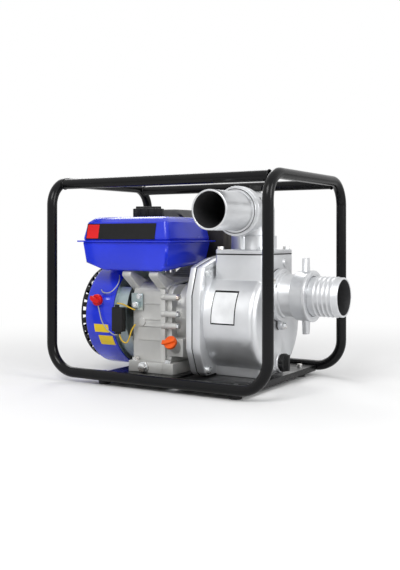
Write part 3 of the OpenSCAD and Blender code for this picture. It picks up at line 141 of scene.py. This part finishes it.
def spread(tree, factor, low, high):
    """Maps a noise to the range low to high."""
    node = tree.nodes.new("ShaderNodeMapRange")
    node.inputs["From Min"].default_value, node.inputs["From Max"].default_value = 0.3, 0.7
    node.inputs["To Min"].default_value, node.inputs["To Max"].default_value = low, high
    tree.links.new(factor, node.inputs["Value"])
    return node.outputs["Result"]


def relief(tree, shader, heights):
    """Chains bumps of (height, strength, depth in metres) into the shader's normal."""
    normal = None
    for height, strength, depth in heights:
        bump = tree.nodes.new("ShaderNodeBump")
        bump.inputs["Strength"].default_value = strength
        bump.inputs["Distance"].default_value = depth
        tree.links.new(height, bump.inputs["Height"])
        if normal:
            tree.links.new(normal, bump.inputs["Normal"])
        normal = bump.outputs["Normal"]
    tree.links.new(normal, shader.inputs["Normal"])


def tinted(colour, factor):
    return tuple(min(c * factor, 1.0) for c in colour)


def gloss_paint(name, colour, peel=0.03, dust=0.08, shine=0.14, coat=0.08):
    """Sprayed gloss paint: slight orange peel, faint clouding and dust that dulls it."""
    finish, tree, shader, place = new_finish(name)
    cloud = noise(tree, place, 9, 4)
    stops = [(0.25, tinted(colour, 0.86)), (0.55, colour), (0.8, tinted(colour, 1.25))]
    tree.links.new(shades(tree, cloud, stops), shader.inputs["Base Color"])
    tree.links.new(spread(tree, noise(tree, place, 26, 6), 0.20, 0.20 + dust), shader.inputs["Roughness"])
    shader.inputs["Specular IOR Level"].default_value = shine
    shader.inputs["Coat Weight"].default_value = coat
    shader.inputs["Coat Roughness"].default_value = 0.08
    relief(tree, shader, [(noise(tree, place, 420, 2), peel, 0.0006),
                          (noise(tree, place, 60, 2), peel, 0.002)])
    return finish


def cast_metal(name, colour, metallic, rough, grain, soot=0.82):
    """Sand or die cast metal: fine grain, wide clouding and darker pores."""
    finish, tree, shader, place = new_finish(name)
    cloud = noise(tree, place, 13, 5)
    stops = [(0.28, tinted(colour, soot)), (0.5, colour), (0.75, tinted(colour, 1.1))]
    tree.links.new(shades(tree, cloud, stops), shader.inputs["Base Color"])
    shader.inputs["Metallic"].default_value = metallic
    patches = noise(tree, place, 55, 5)
    tree.links.new(spread(tree, patches, rough - 0.06, rough + 0.08), shader.inputs["Roughness"])
    relief(tree, shader, [(noise(tree, place, 900, 3), grain, 0.0005),
                          (noise(tree, place, 170, 4), grain, 0.001)])
    return finish


def plated_steel(name, colour, rough=0.3, stretch=(1, 1, 1)):
    """Rolled or turned steel with plating: drawn-out marks and a faint change of tint."""
    finish, tree, shader, place = new_finish(name)
    warm = (min(colour[0] * 1.18, 1), colour[1], colour[2] * 0.84)
    stops = [(0.3, tinted(colour, 0.8)), (0.5, colour), (0.72, warm)]
    tree.links.new(shades(tree, noise(tree, place, 24, 4), stops), shader.inputs["Base Color"])
    shader.inputs["Metallic"].default_value = 0.9
    marks = noise(tree, place, 260, 4, stretch)
    tree.links.new(spread(tree, marks, rough, rough + 0.16), shader.inputs["Roughness"])
    relief(tree, shader, [(marks, 0.08, 0.0004)])
    return finish


def moulded_plastic(name, colour, rough=0.45, stipple=0.1):
    """Injection moulded plastic with a fine spark-eroded texture."""
    finish, tree, shader, place = new_finish(name)
    stops = [(0.3, tinted(colour, 0.85)), (0.7, tinted(colour, 1.2))]
    tree.links.new(shades(tree, noise(tree, place, 18, 4), stops), shader.inputs["Base Color"])
    tree.links.new(spread(tree, noise(tree, place, 70, 3), rough, rough + 0.12), shader.inputs["Roughness"])
    shader.inputs["Specular IOR Level"].default_value = 0.25
    cells = tree.nodes.new("ShaderNodeTexVoronoi")
    cells.inputs["Scale"].default_value = 1100
    tree.links.new(place, cells.inputs["Vector"])
    relief(tree, shader, [(cells.outputs["Distance"], stipple, 0.0003)])
    return finish


def soft_rubber(name, colour, rough=0.7):
    """Rubber: dull, with a bloom of paler patches."""
    finish, tree, shader, place = new_finish(name)
    tree.links.new(shades(tree, noise(tree, place, 40, 5), [(0.4, colour), (0.75, tinted(colour, 1.9))]),
                   shader.inputs["Base Color"])
    tree.links.new(spread(tree, noise(tree, place, 90, 3), rough, rough + 0.15), shader.inputs["Roughness"])
    relief(tree, shader, [(noise(tree, place, 500, 3), 0.15, 0.0004)])
    return finish


def open_foam(name, colour):
    """Filter foam with open cells, its pits darkened with painted shade."""
    finish, tree, shader, place = new_finish(name)
    cells = tree.nodes.new("ShaderNodeTexVoronoi")
    cells.inputs["Scale"].default_value = 520
    tree.links.new(place, cells.inputs["Vector"])
    # painted shade: the colour falls to a third of the foam's own where the cells dip into pits
    tree.links.new(shades(tree, cells.outputs["Distance"], [(0.1, tinted(colour, 0.3)), (0.5, colour)]),
                   shader.inputs["Base Color"])
    shader.inputs["Roughness"].default_value = 0.95
    relief(tree, shader, [(cells.outputs["Distance"], 0.8, 0.001)])
    return finish


FINISHES = {}


def make_finishes(look):
    cage, tank, cast, trim = look.cage, look.tank, look.casting, look.trim
    FINISHES.update({
        "cage paint": gloss_paint("cage_paint", cage.paint, 0.02, 0.05),
        "plate paint": gloss_paint("plate_paint", cage.paint, 0.06, 0.25),
        "blue paint": gloss_paint("blue_paint", tank.paint, shine=0.3, coat=0.25),
        "pump casting": cast_metal("pump_casting", cast.pump_metal, 0.75, 0.36, 0.12, 0.9),
        "engine casting": cast_metal("engine_casting", cast.engine_metal, 0.35, 0.5, 0.3),
        "grey iron": cast_metal("grey_iron", (0.16, 0.16, 0.16), 0.6, 0.6, 0.5),
        # painted shade: a near-black casting for the faces inside the ports, standing in for the shade that
        # falls down the bores
        "bore painted shade": cast_metal("bore_painted_shade", (0.035, 0.035, 0.037), 0.3, 0.6, 0.1),
        "piston alloy": cast_metal("piston_alloy", (0.62, 0.62, 0.63), 0.85, 0.3, 0.1),
        "zinc": plated_steel("zinc_plating", trim.zinc),
        "bolt zinc": plated_steel("bolt_zinc", (0.72, 0.74, 0.75), 0.2),
        "turned steel": plated_steel("turned_steel", (0.42, 0.42, 0.43), 0.2, (8, 1, 1)),
        "hot steel": plated_steel("hot_steel", (0.05, 0.047, 0.045), 0.5),
        "black plastic": moulded_plastic("black_plastic", trim.plastic),
        "grey plastic": moulded_plastic("grey_plastic", (0.06, 0.06, 0.062), 0.5),
        "red plastic": moulded_plastic("red_plastic", trim.red, 0.3, 0.04),
        "orange plastic": moulded_plastic("orange_plastic", trim.orange, 0.3, 0.04),
        "black rubber": soft_rubber("black_rubber", (0.012, 0.012, 0.012)),
        "filter foam": open_foam("filter_foam", (0.08, 0.08, 0.085)),
        "yellow sleeve": moulded_plastic("yellow_sleeve", (0.62, 0.40, 0.03), 0.4, 0.03),
        "grey sleeve": moulded_plastic("grey_sleeve", (0.36, 0.36, 0.38), 0.4, 0.03),
        "yellow film": moulded_plastic("yellow_film", (0.85, 0.60, 0.03), 0.35, 0.02),
        "black film": moulded_plastic("black_film", (0.004, 0.004, 0.0045), 0.5, 0.02),
        "pale film": moulded_plastic("pale_film", (0.72, 0.73, 0.74), 0.5, 0.02),
        "red film": moulded_plastic("red_film", (0.62, 0.012, 0.014), 0.5, 0.02),
    })


def dress(finish, *nodes):
    """Gives frame nodes a finish; their shapes stay."""
    for node in nodes:
        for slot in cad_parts[node].material_slots:
            slot.material = FINISHES[finish]


# ---- shapes ----
def add_piece(name, bm, finish, body=MACHINE, stands_for=(), sharp=35):
    """Makes an object of a bmesh, rides it on a body and shades it smooth between its sharp edges."""
    bmesh.ops.recalc_face_normals(bm, faces=bm.faces)
    mesh = bpy.data.meshes.new(name)
    bm.to_mesh(mesh)
    bm.free()
    mesh.shade_smooth()
    mesh.set_sharp_from_angle(angle=math.radians(sharp))
    piece = bpy.data.objects.new(name, mesh)
    bpy.context.scene.collection.objects.link(piece)
    mesh.materials.append(FINISHES[finish])
    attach(piece, body)
    if stands_for:
        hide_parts(*stands_for)


def fit_corners(verts, level):
    """Moves four corners onto the rectangle (z, low x, high x, low y, high y)."""
    z, x0, x1, y0, y1 = level
    mid = sum((v.co for v in verts), Vector()) / len(verts)
    for v in verts:
        v.co = Vector((x1 if v.co.x > mid.x else x0, y1 if v.co.y > mid.y else y0, z))


def stepped_block(levels, corner, steps=5):
    """A block through rectangles stacked upwards, its edges rounded."""
    bm = bmesh.new()
    bmesh.ops.create_cube(bm, size=1)
    fit_corners([v for v in bm.verts if v.co.z < 0], levels[0])
    top = max(bm.faces, key=lambda f: f.calc_center_median().z)
    fit_corners(top.verts, levels[1])
    for level in levels[2:]:
        raised = bmesh.ops.extrude_face_region(bm, geom=[top])["geom"]
        top = next(g for g in raised if isinstance(g, bmesh.types.BMFace))
        fit_corners(top.verts, level)
    bmesh.ops.bevel(bm, geom=bm.edges[:], offset=corner, offset_type="OFFSET", segments=steps, profile=0.5,
                    affect="EDGES", material=-1, clamp_overlap=True)
    return bm


def plain_block(low, high, corner, steps=2):
    """A block between two corners, its edges rounded."""
    sides = (low[0], high[0], low[1], high[1])
    return stepped_block([(low[2], *sides), (high[2], *sides)], corner, steps)


def spin_whole(bm, axis, steps):
    """Spins all of a bmesh once round an axis through the origin and closes it."""
    bmesh.ops.spin(bm, geom=bm.verts[:] + bm.edges[:], cent=(0, 0, 0), axis=axis, angle=math.tau,
                   steps=steps, use_merge=True, use_duplicate=False)
    bmesh.ops.remove_doubles(bm, verts=bm.verts, dist=1e-6)


def set_on_axis(bm, centre, axis):
    """Turns a bmesh from Z onto an axis and moves it to its centre."""
    turn = Vector((0, 0, 1)).rotation_difference(Vector(axis)).to_matrix().to_4x4()
    bmesh.ops.transform(bm, matrix=Matrix.Translation(centre) @ turn, verts=bm.verts)


def turned_ring(points, centre, axis, steps=64):
    """Spins a closed outline of (radius, station) points about an axis through centre."""
    bm = bmesh.new()
    verts = [bm.verts.new((radius, 0, station)) for radius, station in points]
    for first, second in zip(verts, verts[1:] + verts[:1]):
        bm.edges.new((first, second))
    spin_whole(bm, (0, 0, 1), steps)
    set_on_axis(bm, centre, axis)
    return bm


def round_ring(radius, thick, centre, axis, steps=48):
    """A torus by spinning a small circle."""
    bm = bmesh.new()
    bmesh.ops.create_circle(bm, cap_ends=False, segments=12, radius=thick,
                            matrix=Matrix.Translation((radius, 0, 0)) @ Matrix.Rotation(math.pi / 2, 4, "X"))
    spin_whole(bm, (0, 0, 1), steps)
    set_on_axis(bm, centre, axis)
    return bm


def curved_film(radius, x0, x1, turn0, turn1, thick=0.0003):
    """A thin sheet laid on a drum about the crankshaft's axis, between two turns above its near side."""
    bm = bmesh.new()
    verts = [bm.verts.new((x, -radius, 0)) for x in (x0, x1)]
    bm.edges.new(verts)
    bmesh.ops.rotate(bm, verts=bm.verts, cent=(0, 0, 0), matrix=Matrix.Rotation(-math.radians(turn0), 3, "X"))
    bmesh.ops.spin(bm, geom=bm.verts[:] + bm.edges[:], cent=(0, 0, 0), axis=(1, 0, 0),
                   angle=-math.radians(turn1 - turn0), steps=16, use_duplicate=False)
    bmesh.ops.recalc_face_normals(bm, faces=bm.faces)
    bmesh.ops.solidify(bm, geom=bm.faces[:], thickness=thick)
    bmesh.ops.translate(bm, verts=bm.verts, vec=(0, 0, AXIS_Z))
    return bm


def slotted_shell(profile, slotted, steps, wall):
    """A thin shell of (radius, x) points spun about the crankshaft, with slots in the slotted bands."""
    bm = bmesh.new()
    verts = [bm.verts.new((x, radius, 0)) for radius, x in profile]
    for first, second in zip(verts, verts[1:]):
        bm.edges.new((first, second))
    spin_whole(bm, (1, 0, 0), steps)
    bmesh.ops.recalc_face_normals(bm, faces=bm.faces)
    cuts = []
    for band in slotted:
        (r0, xa), (r1, xb) = profile[band], profile[band + 1]
        middle = Vector(((r0 + r1) / 2, (xa + xb) / 2))
        ring = []
        for face in bm.faces:
            x, y, z = face.calc_center_median()
            if (Vector((math.hypot(y, z), x)) - middle).length < 0.0015:
                ring.append((math.atan2(z, y), face))
        ring.sort(key=lambda entry: entry[0])
        cuts += [face for _, face in ring[::2]]
    bmesh.ops.delete(bm, geom=cuts, context="FACES")
    bmesh.ops.solidify(bm, geom=bm.faces[:], thickness=wall)
    bmesh.ops.translate(bm, verts=bm.verts, vec=(0, 0, AXIS_Z))
    return bm


def rounded_copy(node, finish, edge, steps=2, where=None, body=MACHINE, angle=32, second=None):
    """A merged copy of a frame node with its edges rounded, which replaces the node.

    second, if given, is another finish and a test that picks the faces it goes on.
    """
    bm = bmesh.new()
    bm.from_mesh(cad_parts[node].data)
    bmesh.ops.remove_doubles(bm, verts=bm.verts, dist=2e-6)
    bmesh.ops.dissolve_limit(bm, angle_limit=math.radians(0.5), verts=bm.verts, edges=bm.edges)
    bm.normal_update()
    edges = [e for e in bm.edges if len(e.link_faces) == 2 and e.calc_face_angle(0) > math.radians(angle)
             and (where is None or all(where(v.co) for v in e.verts))]
    bmesh.ops.bevel(bm, geom=edges, offset=edge, offset_type="OFFSET", segments=steps, profile=0.5,
                    affect="EDGES", material=-1, clamp_overlap=False, harden_normals=False)
    if second:
        for face in bm.faces:
            face.material_index = int(second[1](face.calc_center_median(), face.normal))
    mesh = bpy.data.meshes.new(node + "_finished")
    bm.to_mesh(mesh)
    bm.free()
    mesh.shade_smooth()
    mesh.set_sharp_from_angle(angle=math.radians(38))
    piece = bpy.data.objects.new(node + "_finished", mesh)
    bpy.context.scene.collection.objects.link(piece)
    mesh.materials.append(FINISHES[finish])
    if second:
        mesh.materials.append(FINISHES[second[0]])
    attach(piece, body)
    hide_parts(node)


# ---- operators ----
class PUMP_OT_stage(bpy.types.Operator):
    """Floor, lamps, world and camera"""
    bl_idname = "pump.stage"
    bl_label = "Stage"

    def execute(self, context):
        settings = context.scene.pump_look.stage
        scene = context.scene
        bm = bmesh.new()
        bmesh.ops.create_grid(bm, x_segments=1, y_segments=1, size=30)
        mesh = bpy.data.meshes.new("floor")
        bm.to_mesh(mesh)
        bm.free()
        floor = bpy.data.objects.new("floor", mesh)
        scene.collection.objects.link(floor)
        paper, tree, shader, place = new_finish("floor_paper")
        shader.inputs["Base Color"].default_value = (*settings.floor_colour, 1)
        shader.inputs["Roughness"].default_value = 0.9
        distance = tree.nodes.new("ShaderNodeVectorMath")
        distance.operation = "LENGTH"
        tree.links.new(place, distance.inputs[0])
        fade = tree.nodes.new("ShaderNodeMapRange")
        fade.interpolation_type = "SMOOTHSTEP"
        fade.inputs["From Min"].default_value, fade.inputs["From Max"].default_value = 0.45, 1.3
        tree.links.new(distance.outputs["Value"], fade.inputs["Value"])
        path = tree.nodes.new("ShaderNodeLightPath")
        far = tree.nodes.new("ShaderNodeMath")
        far.operation = "MULTIPLY"
        tree.links.new(fade.outputs["Result"], far.inputs[0])
        tree.links.new(path.outputs["Is Camera Ray"], far.inputs[1])
        glow = tree.nodes.new("ShaderNodeEmission")
        mix = tree.nodes.new("ShaderNodeMixShader")
        tree.links.new(far.outputs[0], mix.inputs[0])
        tree.links.new(shader.outputs[0], mix.inputs[1])
        tree.links.new(glow.outputs[0], mix.inputs[2])
        tree.links.new(mix.outputs[0], tree.nodes["Material Output"].inputs["Surface"])
        mesh.materials.append(paper)

        machine_middle = Vector((0, 0, 0.2))

        def lamp(name, place, size, power):
            light = bpy.data.lights.new(name, "AREA")
            light.shape, light.size, light.energy = "DISK", size, power
            lamp_object = bpy.data.objects.new(name, light)
            scene.collection.objects.link(lamp_object)
            lamp_object.location = place
            aim = machine_middle - Vector(place)
            lamp_object.rotation_euler = aim.to_track_quat("-Z", "Y").to_euler()

        lamp("key_lamp", (0.3, -1.9, 1.7), 1.1, settings.light_power)
        lamp("side_lamp", (2.0, -0.3, 1.0), 1.0, settings.light_power * 0.6)
        lamp("back_lamp", (-1.4, 1.5, 1.8), 1.2, settings.light_power * 0.5)

        world = bpy.data.worlds.new("studio")
        scene.world = world
        world.use_nodes = True
        tree = world.node_tree
        background = tree.nodes["Background"]
        path = tree.nodes.new("ShaderNodeLightPath")
        seen = tree.nodes.new("ShaderNodeMath")
        seen.operation = "MAXIMUM"
        tree.links.new(path.outputs["Is Camera Ray"], seen.inputs[0])
        tree.links.new(path.outputs["Is Glossy Ray"], seen.inputs[1])
        strength = tree.nodes.new("ShaderNodeMapRange")
        strength.inputs["To Min"].default_value, strength.inputs["To Max"].default_value = 0.55, 1.0
        tree.links.new(seen.outputs[0], strength.inputs["Value"])
        tree.links.new(strength.outputs["Result"], background.inputs["Strength"])
        background.inputs["Color"].default_value = (1, 1, 1, 1)

        camera = bpy.data.cameras.new("camera")
        camera.lens, camera.sensor_width = settings.lens, 36
        camera.shift_y = -0.0853
        camera_object = bpy.data.objects.new("camera", camera)
        scene.collection.objects.link(camera_object)
        camera_object.location = (0.8676, -1.4693, 0.297)
        camera_object.rotation_euler = Vector((-0.5203, 0.854, 0)).to_track_quat("-Z", "Y").to_euler()
        scene.camera = camera_object
        scene.view_settings.view_transform = "Standard"
        return {"FINISHED"}


class PUMP_OT_cage(bpy.types.Operator):
    """Painted cage tubes and plates, with weld beads where the rails meet the hoops"""
    bl_idname = "pump.cage"
    bl_label = "Cage"

    def execute(self, context):
        settings = context.scene.pump_look.cage
        dress("cage paint", "end_hoop_left", "end_hoop_right", "bottom_rail_near", "bottom_rail_far",
              "top_rail_near", "top_rail_far")
        dress("plate paint", "engine_base_plate", "pump_base_plate")
        dress("black rubber", "rubber_feet")
        dress("bolt zinc", "base_bolts")
        for side, node in (("near", "top_rail_near"), ("far", "top_rail_far")):
            low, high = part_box(node)
            centre_y, centre_z = (low[1] + high[1]) / 2, (low[2] + high[2]) / 2
            for end, x in (("left", low[0] + 0.0004), ("right", high[0] - 0.0004)):
                bead = round_ring(0.0102, settings.bead, (x, centre_y, centre_z), (1, 0, 0))
                add_piece(f"weld_{side}_{end}", bead, "cage paint")
        return {"FINISHED"}


class PUMP_OT_tank(bpy.types.Operator):
    """Pressed tank halves, their seam, the cap and the bare label strip"""
    bl_idname = "pump.tank"
    bl_label = "Fuel tank"

    def execute(self, context):
        settings = context.scene.pump_look.tank
        low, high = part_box("fuel_tank_upper")
        x0, x1, y0, y1 = low[0] + 0.008, high[0] - 0.008, low[1] + 0.004, high[1] - 0.004
        seam = low[2]
        top = high[2] - 0.007
        upper = stepped_block([(seam, x0, x1, y0, y1),
                               (top - 0.010, x0 + 0.008, x1 - 0.008, y0 + 0.008, y1 - 0.008),
                               (top, x0 + 0.020, x1 - 0.020, y0 + 0.020, y1 - 0.020)], settings.corner, 6)
        add_piece("tank_upper_pressing", upper, "blue paint", stands_for=("fuel_tank_upper",))
        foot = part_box("fuel_tank_lower")[0][2]
        lower = stepped_block([(foot, x0 + 0.050, x1 - 0.024, y0 + 0.010, y0 + 0.034),
                               (foot + 0.015, x0 + 0.006, x1 - 0.009, y0 + 0.007, y1 - 0.009),
                               (seam, x0 + 0.001, x1 - 0.001, y0 + 0.001, y1 - 0.001)], 0.005, 5)
        add_piece("tank_lower_pressing", lower, "blue paint", stands_for=("fuel_tank_lower",))
        half_seam = settings.seam / 2
        flange = plain_block((low[0], low[1], seam - half_seam), (high[0], high[1], seam + half_seam), 0.0006)
        add_piece("tank_seam", flange, "blue paint")
        cap_low, cap_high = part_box("fuel_cap")
        cap_x, cap_y = (cap_low[0] + cap_high[0]) / 2, (cap_low[1] + cap_high[1]) / 2
        neck_outline = [(0.019, -0.010), (0.024, -0.010), (0.024, 0.0055), (0.0225, 0.007), (0.019, 0.007)]
        neck = turned_ring(neck_outline, (cap_x, cap_y, top), (0, 0, 1))
        add_piece("tank_neck", neck, "bolt zinc")
        rounded_copy("fuel_cap", "black plastic", 0.0012, 3, body="tank_cap")
        lean = Matrix.Rotation(-math.atan2(0.008, 0.040), 3, "X")
        for name, finish, start, end, foot, head, lift in (
                ("tank_label_place", "black film", -0.228, -0.054, 0, 0.033, 0.0004),
                ("tank_label_end", "red film", -0.226, -0.196, 0.002, 0.031, 0.0002)):
            strip = plain_block((start, -0.0004, foot), (end, 0.0002, head), 0.0001, 1)
            bmesh.ops.rotate(strip, verts=strip.verts, cent=(0, 0, 0), matrix=lean)
            bmesh.ops.translate(strip, verts=strip.verts, vec=(0, y0 + lift, seam + 0.004))
            add_piece(name, strip, finish)
        return {"FINISHED"}


class PUMP_OT_pump_castings(bpy.types.Operator):
    """Pump castings with rounded cast edges, painted shade inside the ports, gaskets and the bare plate on
    the drum
    """
    bl_idname = "pump.pump_castings"
    bl_label = "Pump castings"

    def execute(self, context):
        settings = context.scene.pump_look.casting
        nozzle_low, nozzle_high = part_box("discharge_nozzle")
        elbow_x, elbow_z = (nozzle_low.x + nozzle_high.x) / 2, (nozzle_low.z + nozzle_high.z) / 2
        suction_low, suction_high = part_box("suction_nozzle")
        suction_z = (suction_low.z + suction_high.z) / 2
        plug_y, plug_r, bend_y = 0.006, 0.016, 0.010

        # These tests pick the faces inside the discharge and suction bores, which get the near-black painted
        # shade
        def in_discharge(p, normal):
            return math.hypot(p.x - elbow_x, p.z - elbow_z) < BORE_R and abs(normal.y) < 0.9 and p.y < bend_y

        def in_suction(p, normal):
            return math.hypot(p.y, p.z - suction_z) < BORE_R and abs(normal.x) < 0.9

        def in_filling_plug(p, normal):
            return math.hypot(p.x - elbow_x, p.y - plug_y) < plug_r and p.z > elbow_z

        # The faces inside the ports get a second, near-black finish: painted shade in the bores
        for node, bore in (("pump_adapter", None), ("pump_casing", None), ("discharge_elbow", in_discharge),
                           ("discharge_nozzle", in_discharge), ("suction_flange", in_suction),
                           ("suction_nozzle", in_suction)):
            rounded_copy(node, "pump casting", settings.edge, settings.edge_steps,
                         second=bore and ("bore painted shade", bore))
        rounded_copy("pump_bolts", "bolt zinc", BOLT_EDGE, 2, second=("black plastic", in_filling_plug))
        # painted shade: a thin black ring laid where the nozzle meets its collar, standing in for the shade
        # in the groove there
        groove_shade_ring = round_ring(0.0432, 0.0006, (elbow_x, -0.0797, elbow_z), (0, 1, 0), 64)
        add_piece("nozzle_groove_painted_shade", groove_shade_ring, "black film")
        rounded_copy("suction_nut", "pump casting", settings.edge, settings.edge_steps, body="union_nut")
        dress("black rubber", "pump_gaskets", "check_valve_flap")
        border = curved_film(DRUM_FILM_R, 0.060, 0.113, -1.5, 36.0)
        add_piece("drum_plate_border", border, "black film")
        plate = curved_film(DRUM_FILM_R + 0.0004, 0.062, 0.111, 0.0, 33.5)
        add_piece("drum_plate", plate, "pale film")
        return {"FINISHED"}


class PUMP_OT_engine_block(bpy.types.Operator):
    """Cast engine block, side cover, head and the pieces inside"""
    bl_idname = "pump.engine_block"
    bl_label = "Engine block"

    def execute(self, context):
        settings = context.scene.pump_look.casting
        for node in ("crankcase", "crankcase_cover", "cylinder_head", "carburettor"):
            rounded_copy(node, "engine casting", settings.edge * 0.7, 2)
        rounded_copy("valve_cover", "black plastic", 0.0015, 3)
        dress("turned steel", "main_bearings", "crankshaft", "camshaft", "mechanical_seal")
        dress("grey iron", "impeller", "inner_volute", "flywheel")
        dress("piston alloy", "piston")
        return {"FINISHED"}


class PUMP_OT_cooling(bpy.types.Operator):
    """Fan cover, recoil starter, baffle and the bare labels on the cover"""
    bl_idname = "pump.cooling"
    bl_label = "Cooling and starter"

    def execute(self, context):
        front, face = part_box("fan_cover")[0][0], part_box("recoil_housing")[0][0]

        def on_front_rim(p):
            return p.x < front + 0.0005 and math.hypot(p.y, p.z - AXIS_Z) > 0.095

        rounded_copy("fan_cover", "blue paint", 0.005, 4, where=on_front_rim)
        shell = slotted_shell([(0.103, front - 0.001), (0.103, front - 0.004), (0.103, front - 0.013),
                               (0.102, front - 0.017), (0.096, face), (0.070, face), (0.064, face + 0.003),
                               (0.048, face + 0.003), (0.044, face), (0.0, face)], (1, 4), 72, 0.0014)
        add_piece("recoil_shell", shell, "cage paint", stands_for=("recoil_housing",), sharp=30)
        dress("zinc", "cooling_baffle", "wire_clamp", "starter_cup")
        dress("black plastic", "cooling_fan", "recoil_pulley")
        rounded_copy("starter_grip", "black plastic", 0.0012, 3, body="pull_grip", angle=50)
        add_piece("cover_label_upper", curved_film(COVER_FILM_R, -0.223, -0.186, -18, -8.9), "yellow film")
        add_piece("cover_label_lower", curved_film(COVER_FILM_R, -0.216, -0.179, -33.7, -21.9), "yellow film")
        return {"FINISHED"}


class PUMP_OT_intake_exhaust(bpy.types.Operator):
    """Air cleaner, muffler and its guard"""
    bl_idname = "pump.intake_exhaust"
    bl_label = "Air cleaner and muffler"

    def execute(self, context):
        trim = context.scene.pump_look.trim
        rounded_copy("air_cleaner_base", "black plastic", trim.moulded_edge, 2)
        (x0, y0, z0), (x1, y1, z1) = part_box("air_cleaner_cover")
        cover = stepped_block([(z0, x0, x1, y0, y1), (z0 + 0.030, x0, x1, y0, y1),
                               (z1 - 0.018, x0 + 0.003, x1 - 0.004, y0 + 0.003, y1 - 0.004),
                               (z1, x0 + 0.006, x1 - 0.026, y0 + 0.006, y1 - 0.012)], 0.006, 5)
        add_piece("air_cleaner_moulding", cover, "grey plastic", stands_for=("air_cleaner_cover",))
        dress("filter foam", "air_filter_element")
        rounded_copy("muffler", "hot steel", 0.0015, 2)
        dress("plate paint", "muffler_guard")
        dress("piston alloy", "spark_plug")
        dress("black rubber", "ignition_lead")
        return {"FINISHED"}


class PUMP_OT_controls(bpy.types.Operator):
    """Switch, levers, caps, knobs and the alert unit"""
    bl_idname = "pump.controls"
    bl_label = "Controls"

    def execute(self, context):
        edge = context.scene.pump_look.trim.moulded_edge
        rounded_copy("engine_switch", "red plastic", edge, 3, body="stop_switch")
        rounded_copy("oil_cap", "orange plastic", edge, 3, body="oil_filler_cap")
        rounded_copy("drain_knob", "black plastic", edge, 3, body="drain")
        rounded_copy("oil_alert_unit", "black plastic", edge, 3)
        rounded_copy("choke_lever", "black plastic", edge * 0.5, 2, body="choke")
        rounded_copy("fuel_valve_lever", "black plastic", edge, 2, body="fuel_valve")
        dress("bolt zinc", "throttle_lever")
        rounded_copy("engine_bolts", "bolt zinc", BOLT_EDGE, 2)
        return {"FINISHED"}


LEADS = {
    "switch_lead": ("grey sleeve", 0.0012, [
        (-207, -115, 152), (-203, -115, 138), (-198, -115, 120), (-187, -115, 107), (-175, -115, 98),
        (-162, -114, 92), (-157, -113, 95.4)]),
    "upper_lead": ("grey sleeve", 0.0012, [
        (-212, -97.5, 184), (-205, -104, 180), (-192, -107, 178), (-178, -107, 181), (-168, -102, 193),
        (-171, -88, 205), (-183, -72, 215)]),
    "clamp_lead": ("yellow sleeve", 0.0015, [
        (-159, -113, 159), (-150, -112, 159), (-140, -109, 155), (-130, -104, 149), (-124, -98, 146)]),
    "sensor_lead": ("yellow sleeve", 0.0015, [
        (-153, -113, 96), (-151, -113, 88), (-146, -111, 80), (-137, -109, 77), (-132, -106, 90),
        (-130, -102, 106), (-124, -97, 116)]),
}


class PUMP_OT_leads(bpy.types.Operator):
    """Sleeved leads between the switch, the alert unit and the clamp"""
    bl_idname = "pump.leads"
    bl_label = "Leads"

    def execute(self, context):
        for name, (finish, radius, points) in LEADS.items():
            curve = bpy.data.curves.new(name, "CURVE")
            curve.dimensions, curve.bevel_depth, curve.bevel_resolution = "3D", radius, 4
            curve.resolution_u, curve.use_fill_caps = 8, True
            spline = curve.splines.new("NURBS")
            spline.points.add(len(points) - 1)
            spline.order_u, spline.use_endpoint_u = 3, True
            for point, place in zip(spline.points, points):
                point.co = (*(c / 1000 for c in place), 1)
            lead = bpy.data.objects.new(name, curve)
            context.scene.collection.objects.link(lead)
            curve.materials.append(FINISHES[finish])
            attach(lead, MACHINE)
            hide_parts("engine_wires")
        return {"FINISHED"}


class PumpLook(bpy.types.PropertyGroup):
    stage: PointerProperty(type=StageSettings)
    cage: PointerProperty(type=CageSettings)
    tank: PointerProperty(type=TankSettings)
    casting: PointerProperty(type=CastingSettings)
    trim: PointerProperty(type=TrimSettings)


OPERATORS = (PUMP_OT_stage, PUMP_OT_cage, PUMP_OT_tank, PUMP_OT_pump_castings, PUMP_OT_engine_block,
             PUMP_OT_cooling, PUMP_OT_intake_exhaust, PUMP_OT_controls, PUMP_OT_leads)


class PUMP_PT_panel(bpy.types.Panel):
    """Lists the pieces of the engine pump"""
    bl_idname = "PUMP_PT_panel"
    bl_label = "Engine Pump"
    bl_space_type = "VIEW_3D"
    bl_region_type = "UI"
    bl_category = "Engine Pump"

    def draw(self, context):
        look = context.scene.pump_look
        for group in (look.stage, look.cage, look.tank, look.casting, look.trim):
            for name in group.bl_rna.properties.keys():
                if name not in ("rna_type", "name"):
                    self.layout.prop(group, name)
        for operator in OPERATORS:
            self.layout.operator(operator.bl_idname)


CLASSES = (StageSettings, CageSettings, TankSettings, CastingSettings, TrimSettings, PumpLook, *OPERATORS,
           PUMP_PT_panel)


def register():
    for item in CLASSES:
        bpy.utils.register_class(item)
    bpy.types.Scene.pump_look = PointerProperty(type=PumpLook)


def unregister():
    del bpy.types.Scene.pump_look
    for item in reversed(CLASSES):
        bpy.utils.unregister_class(item)


def main():
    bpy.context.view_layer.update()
    register()
    make_finishes(bpy.context.scene.pump_look)
    for operator in OPERATORS:
        getattr(bpy.ops.pump, operator.bl_idname.split(".")[1])()


if __name__ == "__main__":
    main()
